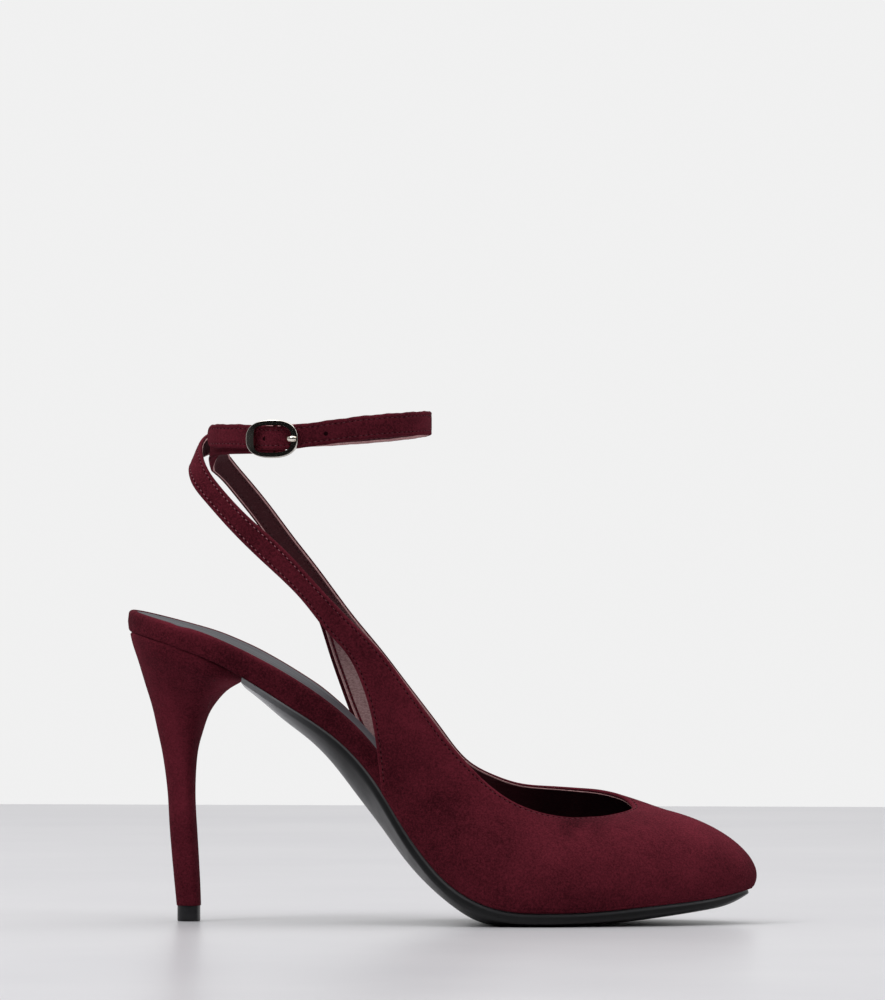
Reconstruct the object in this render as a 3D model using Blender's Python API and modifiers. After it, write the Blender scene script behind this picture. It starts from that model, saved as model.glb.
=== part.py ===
"""A woman's right slingback pump in suede: almond-toed upper whose sides run back into crossed sling
straps, ankle strap with a small oval buckle, wrapped insole, leather outsole and a slim covered heel.

Sizes are in millimetres until a mesh is written. While modelling, x runs from the back of the heel
seat to the toe, y from the lateral side (-) to the medial side (+), and z up from the floor.
"""

import math
from collections import namedtuple

import bmesh
import bpy
import numpy as np
from mathutils import Matrix, Vector

MM = 0.001

# Driving dimensions of the shoe
FEATHER_BACK = -3.2
FEATHER_TIP = 211.5
HEEL_ROUND = 26.0
BALL_AT = 145.0
BALL_HALF_WIDTH = 37.75
TOE_FULLNESS = 1.35
TOE_TAPER = 0.55
WALL = 1.6
GAP = 0.3
ORIGIN_AT = (106.0, 0.3)

# Insole, sock and outsole
BOARD_INSET = WALL + 2 * GAP
SOCK_INSET = 5.0
SOCK_THICKNESS = 0.7
BREAST_AT = 39.4
SOLE_BELLY = 2.2
TOE_CLEARANCE = 1.2
FULL_INSET_FROM = 6.0

# Heel and its top piece
TIP_HEIGHT = 5.1
TIP_INSET = 0.25
BREAST_SQUARENESS = 0.45
HEEL_SIDE_FULLNESS = 0.85

# Ankle loop, straps and buckle
LOOP_CENTRE = 65.2
LOOP_HALF_LENGTH = 37.6
LOOP_HALF_WIDTH = 28.0
STRAP_HALF_WIDTH = 4.05
BUCKLE_AT = 53.25
BUCKLE_HALF_LENGTH = 7.25
BUCKLE_HALF_HEIGHT = 5.5
BUCKLE_HEIGHT = 163.75
FRAME_LIFT = 3.5
FRAME_HALF_THICKNESS = 0.8
FRAME_CORNER = 0.84
BAR_RADIUS = 0.6
BAR_LIFT = GAP + BAR_RADIUS
PRONG_RADIUS = 0.6
PRONG_WIDENING = 1.6
PRONG_HOLE_AT = 57.6
PRONG_HOLE_RADIUS = 1.5

# The bottom of the last: height of the feather line, half width and middle line of the feather,
# thickness of the insole board, and of its medial edge, which is skived thin where the upper covers it,
# and how far a section leans square to the bottom (0 upright, 1 square)
Bottom = namedtuple("Bottom", "x height half_width middle board medial_board lean")
BOTTOM = (
    Bottom(-3.6, 99.5, 26.0, 0.0, 7.3, 7.3, 0.0),
    Bottom(17.0, 93.4, 26.0, 0.0, 7.6, 7.6, 0.0),
    Bottom(30.0, 88.8, 26.1, 0.0, 8.1, 8.1, 0.0),
    Bottom(42.0, 82.4, 25.4, -0.2, 8.5, 8.5, 0.3),
    Bottom(56.4, 73.3, 23.2, -1.2, 8.8, 8.4, 0.8),
    Bottom(66.0, 67.2, 22.4, -1.7, 8.2, 6.7, 1.0),
    Bottom(76.0, 59.4, 22.6, -2.0, 7.3, 4.0, 1.0),
    Bottom(83.0, 51.9, 23.6, -2.1, 6.8, 3.1, 1.0),
    Bottom(89.0, 43.8, 25.0, -2.3, 6.2, 2.9, 1.0),
    Bottom(96.0, 32.9, 27.0, -2.5, 4.9, 2.8, 1.0),
    Bottom(103.0, 23.4, 29.3, -2.5, 4.0, 2.8, 1.0),
    Bottom(110.0, 15.8, 31.7, -2.3, 3.2, 2.8, 1.0),
    Bottom(117.0, 10.6, 34.0, -1.9, 2.9, 2.8, 1.0),
    Bottom(124.0, 7.2, 35.8, -1.3, 2.8, 2.8, 1.0),
    Bottom(132.0, 5.0, 37.2, -0.5, 2.8, 2.8, 1.0),
    Bottom(145.0, 4.2, 37.75, 0.7, 2.8, 2.8, 1.0),
    Bottom(160.0, 4.5, 36.0, 2.0, 2.8, 2.8, 1.0),
    Bottom(177.0, 6.0, 29.6, 3.3, 2.8, 2.8, 1.0),
    Bottom(191.5, 7.5, 21.5, 4.2, 2.8, 2.8, 1.0),
    Bottom(202.0, 9.0, 13.0, 4.7, 2.8, 2.8, 1.0),
    Bottom(211.9, 11.4, 1.0, 5.0, 2.8, 2.8, 1.0),
)

# The outsole: height of its lowest line, thickness of its edge, inset from the feather line, and
# the share of its width that is flat underneath
Sole = namedtuple("Sole", "x floor edge inset flat")
SOLE = (
    Sole(39.0, 80.2, 1.3, 2.6, 0.0),
    Sole(45.0, 75.4, 1.5, 2.6, 0.0),
    Sole(53.3, 68.3, 1.6, 2.6, 0.0),
    Sole(61.5, 62.0, 1.7, 2.6, 0.0),
    Sole(69.8, 53.7, 1.8, 2.6, 0.0),
    Sole(78.0, 43.1, 1.9, 2.6, 0.0),
    Sole(86.4, 32.2, 2.0, 2.4, 0.0),
    Sole(94.9, 21.1, 2.2, 1.8, 0.05),
    Sole(103.5, 12.4, 2.4, 1.2, 0.15),
    Sole(112.3, 5.9, 2.6, 1.0, 0.35),
    Sole(120.0, 1.7, 2.9, 1.0, 0.5),
    Sole(127.0, 0.0, 3.1, 1.0, 0.6),
    Sole(148.0, 0.0, 3.1, 1.0, 0.6),
    Sole(164.0, 0.65, 3.0, 1.0, 0.6),
    Sole(178.5, 2.1, 2.9, 1.0, 0.55),
    Sole(196.5, 4.8, 2.4, 1.0, 0.5),
    Sole(205.0, 7.0, 1.7, 1.0, 0.45),
    Sole(209.5, 9.5, 0.8, 1.1, 0.4),
    Sole(211.5, 10.9, 0.3, 1.2, 0.4),
)

# The covered heel from the seat down: back and breast of each section, and its half width
HeelCut = namedtuple("HeelCut", "back_x back_z breast_x breast_z half_width")
HEEL = (
    HeelCut(-0.2, 97.6, 38.6, 83.6, 23.4),
    HeelCut(0.7, 94.4, 37.3, 81.7, 22.6),
    HeelCut(2.4, 89.1, 32.8, 79.0, 19.2),
    HeelCut(4.8, 80.9, 28.6, 74.6, 14.6),
    HeelCut(7.2, 72.8, 25.8, 69.8, 11.2),
    HeelCut(9.0, 64.6, 23.8, 63.6, 8.9),
    HeelCut(10.7, 56.4, 22.2, 56.4, 7.4),
    HeelCut(12.3, 44.0, 21.6, 44.0, 6.0),
    HeelCut(13.0, 32.0, 22.2, 32.0, 5.2),
    HeelCut(14.4, 15.6, 23.2, 15.6, 4.5),
    HeelCut(15.4, TIP_HEIGHT + GAP, 23.6, TIP_HEIGHT + GAP, 4.2),
)

# Ribs of the upper, each from its lower edge to the topline. A strap rib gives both ends, a vamp rib
# stands on the feather line at feather_x. The last four columns fill the rib out: the lower and the
# upper third of its curve are pushed outwards and upwards from the straight line.
StrapRib = namedtuple("StrapRib", "lower upper")
VampRib = namedtuple("VampRib", "feather_x top_x top_y top_z belly_out belly_up brow_out brow_up")
STRAP_FILL = (0.35, 0.0, 0.35, 0.0)
LATERAL_STRAP = (
    StrapRib((31.1, 15.3, 161.05), (31.1, 15.3, 169.15)),
    StrapRib((23.2, 9.0, 158.7), (24.7, 9.2, 166.8)),
    StrapRib((20.1, 0.0, 155.9), (23.2, 0.0, 163.6)),
    StrapRib((20.5, -9.8, 153.0), (24.6, -8.0, 160.2)),
    StrapRib((22.9, -16.0, 148.5), (27.9, -14.4, 154.4)),
    StrapRib((28.2, -20.0, 142.4), (33.4, -19.0, 147.7)),
    StrapRib((36.2, -23.0, 133.8), (41.9, -22.8, 139.0)),
    StrapRib((49.0, -25.6, 121.6), (55.0, -25.8, 127.4)),
    StrapRib((61.5, -26.6, 109.6), (67.4, -26.9, 114.4)),
    StrapRib((70.3, -26.9, 98.8), (78.4, -27.2, 102.9)),
    StrapRib((77.6, -26.8, 90.3), (88.4, -27.3, 92.6)),
    StrapRib((83.0, -26.6, 78.5), (96.5, -27.3, 82.1)),
    StrapRib((86.1, -26.7, 66.5), (104.6, -27.4, 71.2)),
)
LATERAL_CORNER = VampRib(88.6, 112.6, -27.4, 60.8, 1.0, 0.0, 0.6, 0.2)
MEDIAL_CORNER = VampRib(77.5, 94.8, 26.4, 76.5, 0.8, 0.0, 0.6, 0.2)
VAMP_LATERAL = (
    VampRib(100.0, 121.0, -27.2, 51.8, 3.0, 0.3, 1.6, 1.2),
    VampRib(112.0, 128.0, -26.6, 45.6, 5.0, 0.6, 1.8, 2.6),
    VampRib(124.0, 134.6, -25.8, 41.5, 6.6, 0.8, 1.9, 4.0),
    VampRib(137.0, 142.0, -24.2, 38.6, 7.6, 1.0, 2.2, 5.0),
    VampRib(152.0, 149.5, -21.6, 37.0, 8.0, 1.0, 3.0, 6.0),
    VampRib(168.0, 156.5, -17.8, 36.6, 8.8, 1.0, 4.0, 7.0),
    VampRib(183.0, 162.5, -12.5, 36.9, 10.6, 1.0, 5.4, 7.8),
    VampRib(196.0, 167.3, -6.2, 37.7, 14.0, 0.9, 7.6, 8.4),
    VampRib(205.5, 170.2, -0.6, 38.6, 19.4, 0.8, 10.2, 9.0),
)
VAMP_TIP = VampRib(FEATHER_TIP, 171.0, 3.4, 39.4, 22.3, 0.7, 11.3, 9.2)
VAMP_MEDIAL = (
    VampRib(205.5, 170.3, 7.0, 40.4, 19.8, 0.8, 10.6, 9.0),
    VampRib(198.0, 168.2, 10.6, 42.2, 15.0, 0.9, 8.6, 8.6),
    VampRib(187.0, 164.2, 14.4, 43.8, 11.4, 1.0, 6.0, 8.0),
    VampRib(173.0, 158.0, 18.4, 45.0, 9.2, 1.0, 4.2, 7.2),
    VampRib(158.0, 150.0, 21.3, 45.6, 8.2, 1.0, 3.2, 6.2),
    VampRib(143.0, 141.0, 23.6, 46.1, 7.6, 1.0, 2.6, 5.2),
    VampRib(128.0, 131.0, 25.0, 46.9, 6.8, 0.8, 2.2, 4.2),
    VampRib(114.0, 122.0, 25.7, 49.6, 5.2, 0.6, 2.0, 2.8),
    VampRib(101.0, 112.8, 26.1, 54.5, 3.4, 0.3, 1.6, 1.4),
    VampRib(88.0, 103.1, 26.4, 65.8, 1.8, 0.1, 1.0, 0.5),
)
MEDIAL_STRAP = (
    StrapRib((73.2, 22.6, 67.9), (88.8, 26.6, 84.3)),
    StrapRib((68.2, 24.6, 80.6), (81.6, 26.7, 93.6)),
    StrapRib((64.3, 25.6, 91.5), (74.6, 26.7, 102.0)),
    StrapRib((60.0, 25.9, 104.0), (68.0, 26.6, 110.6)),
    StrapRib((53.5, 25.6, 115.3), (60.2, 26.0, 121.2)),
    StrapRib((46.0, 24.8, 126.3), (52.5, 25.3, 131.1)),
    StrapRib((38.2, 22.9, 137.4), (44.2, 24.0, 142.2)),
    StrapRib((31.6, 19.2, 146.2), (37.6, 20.8, 150.7)),
    StrapRib((27.4, 14.6, 151.6), (33.4, 16.6, 156.2)),
    StrapRib((25.2, 12.3, 153.7), (31.6, 14.4, 158.8)),
)
TAB_START = (
    StrapRib((25.0, 11.7, 154.3), (31.1, 13.7, 159.4)),
    StrapRib((25.1, 8.3, 155.4), (29.9, 10.0, 162.4)),
    StrapRib((25.5, 4.1, 156.6), (28.0, 4.8, 165.5)),
    StrapRib((26.4, -0.5, 157.5), (27.6, 0.0, 167.2)),
)
UPPER_COLUMNS = (30, 52, 24)
UPPER_ROWS = 9
TOE_PULL = 0.6

# Height of the middle of the ankle strap, by degrees round the loop: 180 at the back, 90 on the medial
# side, 0 in front, -90 on the lateral side; and how far the strap's face stands off the loop, where it
# lies over the medial strap, the centre bar and the tab. The tab's edges go by the same degrees.
Wrap = namedtuple("Wrap", "turn height lift")
ANKLE_WRAP = (
    Wrap(-166.0, 165.1, 1.95),
    Wrap(-140.0, 165.0, 1.95),
    Wrap(-117.4, 164.4, 2.0),
    Wrap(-108.6, 164.1, 3.45),
    Wrap(-103.9, 164.2, 3.1),
    Wrap(-98.4, 164.5, 2.0),
    Wrap(-87.0, 165.4, 1.9),
    Wrap(-66.0, 167.3, 0.6),
    Wrap(-40.0, 168.7, 0.0),
    Wrap(0.0, 169.6, 0.0),
    Wrap(40.0, 168.6, 0.0),
    Wrap(90.0, 166.6, 0.0),
    Wrap(125.0, 165.6, 1.0),
    Wrap(149.4, 165.1, 2.0),
)
TabCut = namedtuple("TabCut", "turn lower upper")
TAB_WRAP = (
    TabCut(-170.0, 158.1, 167.45),
    TabCut(-150.0, 158.8, 167.45),
    TabCut(-130.0, 158.9, 167.45),
    TabCut(-112.0, 159.0, 167.45),
    TabCut(-104.0, 159.2, 167.45),
)


def through(knots, values):
    """A smooth curve through the values at the knots that never overshoots them."""
    knots = np.asarray(knots, float)
    values = np.asarray(values, float)
    steps = np.diff(knots)
    slopes = np.diff(values) / steps
    before, after = slopes[:-1], slopes[1:]
    rising = before * after > 0
    total = np.where(rising, before + after, 1.0)
    tangents = np.concatenate(
        (slopes[:1], np.where(rising, 2 * before * after / total, 0.0), slopes[-1:])
    )

    def at(x):
        i = int(np.clip(np.searchsorted(knots, x) - 1, 0, len(steps) - 1))
        t = (x - knots[i]) / steps[i]
        start = values[i] * (1 + 2 * t) + tangents[i] * steps[i] * t
        end = values[i + 1] * (3 - 2 * t) - tangents[i + 1] * steps[i] * (1 - t)
        return float(start * (1 - t) ** 2 + end * t**2)

    return at


def natural(knots, points):
    """The natural cubic curve through the points at the knots."""
    knots = np.asarray(knots, float)
    points = np.asarray(points, float)
    steps = np.diff(knots)
    system = np.eye(len(knots))
    load = np.zeros_like(points)
    for i in range(1, len(knots) - 1):
        system[i, i - 1 : i + 2] = steps[i - 1], 2 * (steps[i - 1] + steps[i]), steps[i]
        load[i] = 6 * (
            (points[i + 1] - points[i]) / steps[i] - (points[i] - points[i - 1]) / steps[i - 1]
        )
    bends = np.linalg.solve(system, load)

    def at(t):
        i = int(np.clip(np.searchsorted(knots, t) - 1, 0, len(steps) - 1))
        b = (t - knots[i]) / steps[i]
        a = 1 - b
        bending = (a**3 - a) * bends[i] + (b**3 - b) * bends[i + 1]
        return a * points[i] + b * points[i + 1] + bending * steps[i] ** 2 / 6

    return at


def column(rows, name):
    return [getattr(row, name) for row in rows]


feather_height = through(column(BOTTOM, "x"), column(BOTTOM, "height"))
waist_half_width = through(column(BOTTOM, "x"), column(BOTTOM, "half_width"))
feather_middle = through(column(BOTTOM, "x"), column(BOTTOM, "middle"))
full_board = through(column(BOTTOM, "x"), column(BOTTOM, "board"))
medial_board = through(column(BOTTOM, "x"), column(BOTTOM, "medial_board"))
section_lean = through(column(BOTTOM, "x"), column(BOTTOM, "lean"))
sole_floor = through(column(SOLE, "x"), column(SOLE, "floor"))
sole_edge = through(column(SOLE, "x"), column(SOLE, "edge"))
sole_inset = through(column(SOLE, "x"), column(SOLE, "inset"))
sole_flat = through(column(SOLE, "x"), column(SOLE, "flat"))


def half_width(x):
    """Half the width of the feather line: round at the heel, almond at the toe."""
    if x > BALL_AT:
        reach = min((x - BALL_AT) / (FEATHER_TIP - BALL_AT), 1.0)
        return BALL_HALF_WIDTH * (1 - reach**TOE_FULLNESS) ** TOE_TAPER
    back = max(0.0, 1 - (x - FEATHER_BACK) / HEEL_ROUND)
    return waist_half_width(x) * math.sqrt(max(0.0, 1 - back**2))


def board_thickness(x, y):
    """Thickness of the insole board at a place, full at its middle and lateral side."""
    to_medial = (y - feather_middle(x)) / max(half_width(x), 1.0)
    return full_board(x) + (medial_board(x) - full_board(x)) * min(max(to_medial, 0.0), 1.0) ** 2


def inset_outline(x, inset):
    """Where a section at x moves to, and its half width, on the feather line drawn in by inset."""
    middle = (FEATHER_BACK + FEATHER_TIP) / 2
    shrink = 1 - 2 * inset / (FEATHER_TIP - FEATHER_BACK)
    half = half_width(x)
    return middle + (x - middle) * shrink, half - inset * min(1.0, half / FULL_INSET_FROM)


def on_last(x, y, rise):
    """The point that stands rise above the last's bottom at x, y across."""
    slope = feather_height(x + 0.5) - feather_height(x - 0.5)
    angle = math.atan(slope) * section_lean(x)
    return x - rise * math.sin(angle), y, feather_height(x) + rise * math.cos(angle)


def along_last(share, start, end):
    """x at a share of the way from start to end, with sections closer together at both ends."""
    eased = (1 - math.cos(math.pi * share)) / 2
    return start + (end - start) * (0.45 * share + 0.55 * eased)


shoe = bpy.data.collections.new("slingback_pump")
cutters = bpy.data.collections.new("slingback_pump_cutters")


def material(name, colour, roughness, metallic=0.0):
    made = bpy.data.materials.new(name)
    made.use_nodes = True
    shader = made.node_tree.nodes["Principled BSDF"]
    shader.inputs["Base Color"].default_value = (*colour, 1.0)
    shader.inputs["Roughness"].default_value = roughness
    shader.inputs["Metallic"].default_value = metallic
    return made


def bent_grid(columns, rows, point):
    """A grid whose corners are sent to point(u, v), with u and v running from 0 to 1."""
    bm = bmesh.new()
    bmesh.ops.create_grid(bm, x_segments=columns, y_segments=rows, size=0.5)
    shift = Vector((*ORIGIN_AT, 0.0))
    for vert in bm.verts:
        vert.co = (Vector(point(vert.co.x + 0.5, vert.co.y + 0.5)) - shift) * MM
    return bm


def closed_skin(columns, rows, point):
    """A bent grid whose seam is welded and whose open ends are capped."""
    bm = bent_grid(columns, rows, point)
    bmesh.ops.remove_doubles(bm, verts=bm.verts, dist=1e-7)
    rims = [edge for edge in bm.edges if edge.is_boundary]
    if rims:
        bmesh.ops.holes_fill(bm, edges=rims, sides=0)
    bmesh.ops.recalc_face_normals(bm, faces=bm.faces)
    return bm


def part(name, bm, finish, smooth_angle=40.0, collection=shoe):
    mesh = bpy.data.meshes.new(name)
    bm.to_mesh(mesh)
    bm.free()
    mesh.shade_smooth()
    mesh.set_sharp_from_angle(angle=math.radians(smooth_angle))
    mesh.materials.append(finish)
    made = bpy.data.objects.new(name, mesh)
    collection.objects.link(made)
    return made


def thicken(sheet, thickness):
    """Gives a sheet its wall, inwards from its outer face."""
    wall = sheet.modifiers.new("wall", "SOLIDIFY")
    wall.thickness = thickness * MM
    wall.offset = -1.0
    wall.use_even_offset = True


# Corners of a section of the board or the sock: across (-1 lateral, 1 medial) and level (0 under, 1 on top)
SLAB_SECTION = (
    (-0.97, 0.0), (-0.5, 0.0), (0.0, 0.0), (0.5, 0.0), (0.97, 0.0),
    (1.0, 0.12), (1.0, 0.45), (1.0, 0.78), (0.985, 0.93), (0.955, 1.0),
    (0.6, 1.0), (0.2, 1.0), (-0.2, 1.0), (-0.6, 1.0), (-0.955, 1.0),
    (-0.985, 0.93), (-1.0, 0.78), (-1.0, 0.45), (-1.0, 0.12),
)
SOLE_SECTION = (
    (-0.97, 0.0), (-0.85, 0.0), (-0.72, 0.0), (-0.58, 0.0), (-0.3, 0.0), (0.0, 0.0), (0.3, 0.0),
    (0.58, 0.0), (0.72, 0.0), (0.85, 0.0), (0.97, 0.0), (1.0, 0.25), (1.0, 0.75), (0.98, 1.0),
    (0.4, 1.0), (-0.4, 1.0), (-0.98, 1.0), (-1.0, 0.75), (-1.0, 0.25),
)


def corner_of(section, share):
    """The section's corner at a share of the way round, with the first corner again at 1."""
    return section[round(share * len(section)) % len(section)]


def insole_point(u, v):
    across, level = corner_of(SLAB_SECTION, u)
    x, half = inset_outline(along_last(v, FEATHER_BACK, FEATHER_TIP - TOE_CLEARANCE), BOARD_INSET)
    y = feather_middle(x) + across * half
    return on_last(x, y, GAP + level * board_thickness(x, y))


def sock_point(u, v):
    across, level = corner_of(SLAB_SECTION, u)
    x, half = inset_outline(along_last(v, FEATHER_BACK, FEATHER_TIP - TOE_CLEARANCE), SOCK_INSET)
    y = feather_middle(x) + across * half
    base = GAP + board_thickness(x, y) + GAP
    return on_last(x, y, base + level * SOCK_THICKNESS)


def outsole_point(u, v):
    across, level = corner_of(SOLE_SECTION, u)
    station = along_last(v, BREAST_AT, FEATHER_TIP - 0.05)
    x, half = inset_outline(station, sole_inset(station))
    x = max(x, BREAST_AT)
    y = feather_middle(x) + across * half
    top = on_last(x, y, 0.0)
    edge = on_last(x, y, -sole_edge(x))
    if level == 0.0:
        away = max(0.0, (abs(across) - sole_flat(x)) / (1 - sole_flat(x)))
        low = sole_floor(x)
        share = min(1.0, away) ** SOLE_BELLY
        return edge[0] * share + x * (1 - share), y, edge[2] * share + low * (1 - share)
    return tuple(a + (b - a) * level for a, b in zip(edge, top))


def heel_cut(row, inset=0.0, seat=False):
    """A heel section as a function of a share of the way round: round at the back, flat at the breast."""

    def at(share):
        turn = 2 * math.pi * share
        along = -math.cos(turn)
        side = math.sin(turn)
        if along > 0:
            along = along**BREAST_SQUARENESS
        x_middle = (row.back_x + row.breast_x) / 2
        x = x_middle + along * ((row.breast_x - row.back_x) / 2 - inset)
        y = math.copysign(abs(side) ** HEEL_SIDE_FULLNESS, side) * (row.half_width - inset)
        level = (x - row.back_x) / (row.breast_x - row.back_x)
        z = row.back_z + (row.breast_z - row.back_z) * level
        if seat:
            z = feather_height(x) - GAP
        return np.array((x, y, z))

    return at


def heel_point(u, v):
    cuts = [heel_cut(row, seat=row is HEEL[0])(u) for row in HEEL]
    return natural(range(len(cuts)), cuts)(v * (len(cuts) - 1))


def heel_tip_point(u, v):
    x, y, _ = heel_cut(HEEL[-1], TIP_INSET)(u)
    return x, y, TIP_HEIGHT * (1 - v)


def feather_line():
    """The lower edge of the vamp: from the lateral corner round the toe to the medial corner."""
    points = []
    for corner, side in ((LATERAL_CORNER, -1), (MEDIAL_CORNER, 1)):
        length = FEATHER_TIP - corner.feather_x
        walk = [corner.feather_x + length * math.sin(turn) for turn in np.linspace(0.0, math.pi / 2, 200)]
        edge = [on_last(x, feather_middle(x) + side * half_width(x), GAP) for x in walk]
        points += edge if side < 0 else edge[::-1][1:]
    points = np.array(points)
    steps = np.linalg.norm(np.diff(points, axis=0), axis=1)
    return points, np.concatenate(([0.0], np.cumsum(steps)))


feather_points, feather_runs = feather_line()


def feather_run(rib, side):
    """How far along the feather line a vamp rib stands."""
    tip = len(feather_points) // 2
    if side < 0:
        return float(np.interp(rib.feather_x, feather_points[: tip + 1, 0], feather_runs[: tip + 1]))
    return float(np.interp(-rib.feather_x, -feather_points[tip:, 0], feather_runs[tip:]))


def feather_at(run):
    return np.array([np.interp(run, feather_runs, feather_points[:, axis]) for axis in range(3)])


def upper_surface():
    """The outer face of the upper as point(u, v): u from the lateral strap's end round the toe to the
    medial strap's end, v from the lower edge to the topline."""
    lateral = [LATERAL_CORNER, *VAMP_LATERAL, VAMP_TIP]
    medial = [*VAMP_MEDIAL, MEDIAL_CORNER]
    vamp = lateral + medial
    runs = [feather_run(rib, -1) for rib in lateral] + [feather_run(rib, 1) for rib in medial]
    vamp_lower = [feather_at(run) for run in runs]
    lower = [rib.lower for rib in LATERAL_STRAP] + vamp_lower + [rib.lower for rib in MEDIAL_STRAP]
    upper = [rib.upper for rib in LATERAL_STRAP]
    upper += [(rib.top_x, rib.top_y, rib.top_z) for rib in vamp]
    upper += [rib.upper for rib in MEDIAL_STRAP]
    fills = [STRAP_FILL] * len(LATERAL_STRAP)
    fills += [(rib.belly_out, rib.belly_up, rib.brow_out, rib.brow_up) for rib in vamp]
    fills += [STRAP_FILL] * len(MEDIAL_STRAP)
    lower, upper = np.array(lower), np.array(upper)
    steps = np.linalg.norm(np.diff(lower, axis=0), axis=1) + np.linalg.norm(np.diff(upper, axis=0), axis=1)
    knots = np.concatenate(([0.0], np.cumsum(steps)))
    first = len(LATERAL_STRAP)
    last = first + len(vamp) - 1
    bounds = (knots[0], knots[first], knots[last], knots[-1])
    lateral_lower = natural(knots[: first + 1], lower[: first + 1])
    medial_lower = natural(knots[last:], lower[last:])
    vamp_run = through(knots[first : last + 1], runs)
    topline = natural(knots, upper)
    filling = [through(knots, values) for values in zip(*fills)]

    def at(u, v):
        place = u * sum(UPPER_COLUMNS)
        region = 0
        while region < 2 and place > UPPER_COLUMNS[region]:
            place -= UPPER_COLUMNS[region]
            region += 1
        knot = bounds[region] + (bounds[region + 1] - bounds[region]) * place / UPPER_COLUMNS[region]
        if region == 1:
            low = feather_at(vamp_run(knot))
        else:
            low = (lateral_lower if region == 0 else medial_lower)(knot)
        top = topline(knot)
        belly_out, belly_up, brow_out, brow_up = (fill(knot) for fill in filling)
        out = np.array((max(0.0, low[0] - BALL_AT) * TOE_PULL, low[1] - feather_middle(low[0]), 0.0))
        if region != 1:
            out = np.array((-0.3 if low[0] < 40.0 else 0.0, low[1], 0.0))
        out /= max(np.linalg.norm(out), 1e-6)
        up = np.array((0.0, 0.0, 1.0))
        lower_third = low + (top - low) / 3 + belly_out * out + belly_up * up
        upper_third = low + (top - low) * 2 / 3 + brow_out * out + brow_up * up
        w = 1 - v
        return w**3 * low + 3 * w**2 * v * lower_third + 3 * w * v**2 * upper_third + v**3 * top

    return at


def loop_point(turn, lift, height):
    """The point of the ankle loop at a turn in degrees, lift outside it."""
    angle = math.radians(turn)
    along = math.cos(angle) * LOOP_HALF_LENGTH
    across = math.sin(angle) * LOOP_HALF_WIDTH
    normal = np.array((math.cos(angle) / LOOP_HALF_LENGTH, math.sin(angle) / LOOP_HALF_WIDTH))
    normal /= np.linalg.norm(normal)
    return np.array((LOOP_CENTRE + along + lift * normal[0], across + lift * normal[1], height))


def lateral_turn(x):
    """The turn on the lateral side of the loop whose face is at x."""
    return -math.degrees(math.acos((x - LOOP_CENTRE) / LOOP_HALF_LENGTH))


wrap_height = natural(column(ANKLE_WRAP, "turn"), column(ANKLE_WRAP, "height"))
wrap_lift = through(column(ANKLE_WRAP, "turn"), column(ANKLE_WRAP, "lift"))


def ankle_strap_point(u, v):
    start, end = ANKLE_WRAP[0].turn, ANKLE_WRAP[-1].turn
    turn = start + (end - start) * u
    from_tip = LOOP_HALF_WIDTH * math.radians(turn - start)
    round_end = max(0.0, 1 - from_tip / STRAP_HALF_WIDTH)
    half = STRAP_HALF_WIDTH * max(0.3, math.sqrt(1 - round_end**2))
    return loop_point(turn, wrap_lift(turn), wrap_height(turn) + (2 * v - 1) * half)


def tab_surface():
    lower = [rib.lower for rib in TAB_START]
    upper = [rib.upper for rib in TAB_START]
    for cut in TAB_WRAP:
        lower.append(tuple(loop_point(cut.turn, 0.0, cut.lower)))
        upper.append(tuple(loop_point(cut.turn, 0.0, cut.upper)))
    knots = np.concatenate(([0.0], np.cumsum(np.linalg.norm(np.diff(lower, axis=0), axis=1))))
    low, top = natural(knots, lower), natural(knots, upper)

    def at(u, v):
        return low(u * knots[-1]) * (1 - v) + top(u * knots[-1]) * v

    return at


def frame_point(u, v):
    """The oval ring of the buckle, bent along the strap; its left bar is the broadest."""
    turn, round_bar = 2 * math.pi * u, 2 * math.pi * v
    side = math.cos(turn)
    breadth = 0.92 + 0.1 * max(0.0, side) + 0.4 * max(0.0, -side) ** 2
    across = math.cos(round_bar) * breadth
    lift = FRAME_LIFT + math.sin(round_bar) * FRAME_HALF_THICKNESS
    along = (BUCKLE_HALF_LENGTH + across) * math.copysign(abs(side) ** FRAME_CORNER, side)
    rise = math.sin(turn)
    height = (BUCKLE_HALF_HEIGHT + across) * math.copysign(abs(rise) ** FRAME_CORNER, rise)
    return loop_point(lateral_turn(BUCKLE_AT + along), lift, BUCKLE_HEIGHT + height)


def tube(points, radii, sides, widening=1.0):
    """A bar through the points, round, or widened upwards and downwards."""
    path = natural(range(len(points)), points)
    radius = natural(range(len(points)), radii)
    end = len(points) - 1

    def at(u, v):
        place = v * end
        ahead = Vector(path(min(place + 0.05, end))) - Vector(path(max(place - 0.05, 0.0)))
        across = ahead.normalized().cross(Vector((0.0, 0.0, 1.0)))
        if across.length < 0.1:
            across = ahead.normalized().cross(Vector((1.0, 0.0, 0.0)))
        across.normalize()
        beside = across.cross(ahead.normalized())
        turn = 2 * math.pi * u
        return Vector(path(place)) + float(radius(place)) * (
            across * math.cos(turn) + beside * math.sin(turn) * widening
        )

    return closed_skin(sides, 4 * end, at)


def union(base, added):
    """Joins a helper to a part and leaves the helper out of the shoe."""
    join = base.modifiers.new("join", "BOOLEAN")
    join.operation = "UNION"
    join.object = added
    hide(added)


def hide(helper):
    helper.hide_render = True
    helper.display_type = "WIRE"


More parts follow.
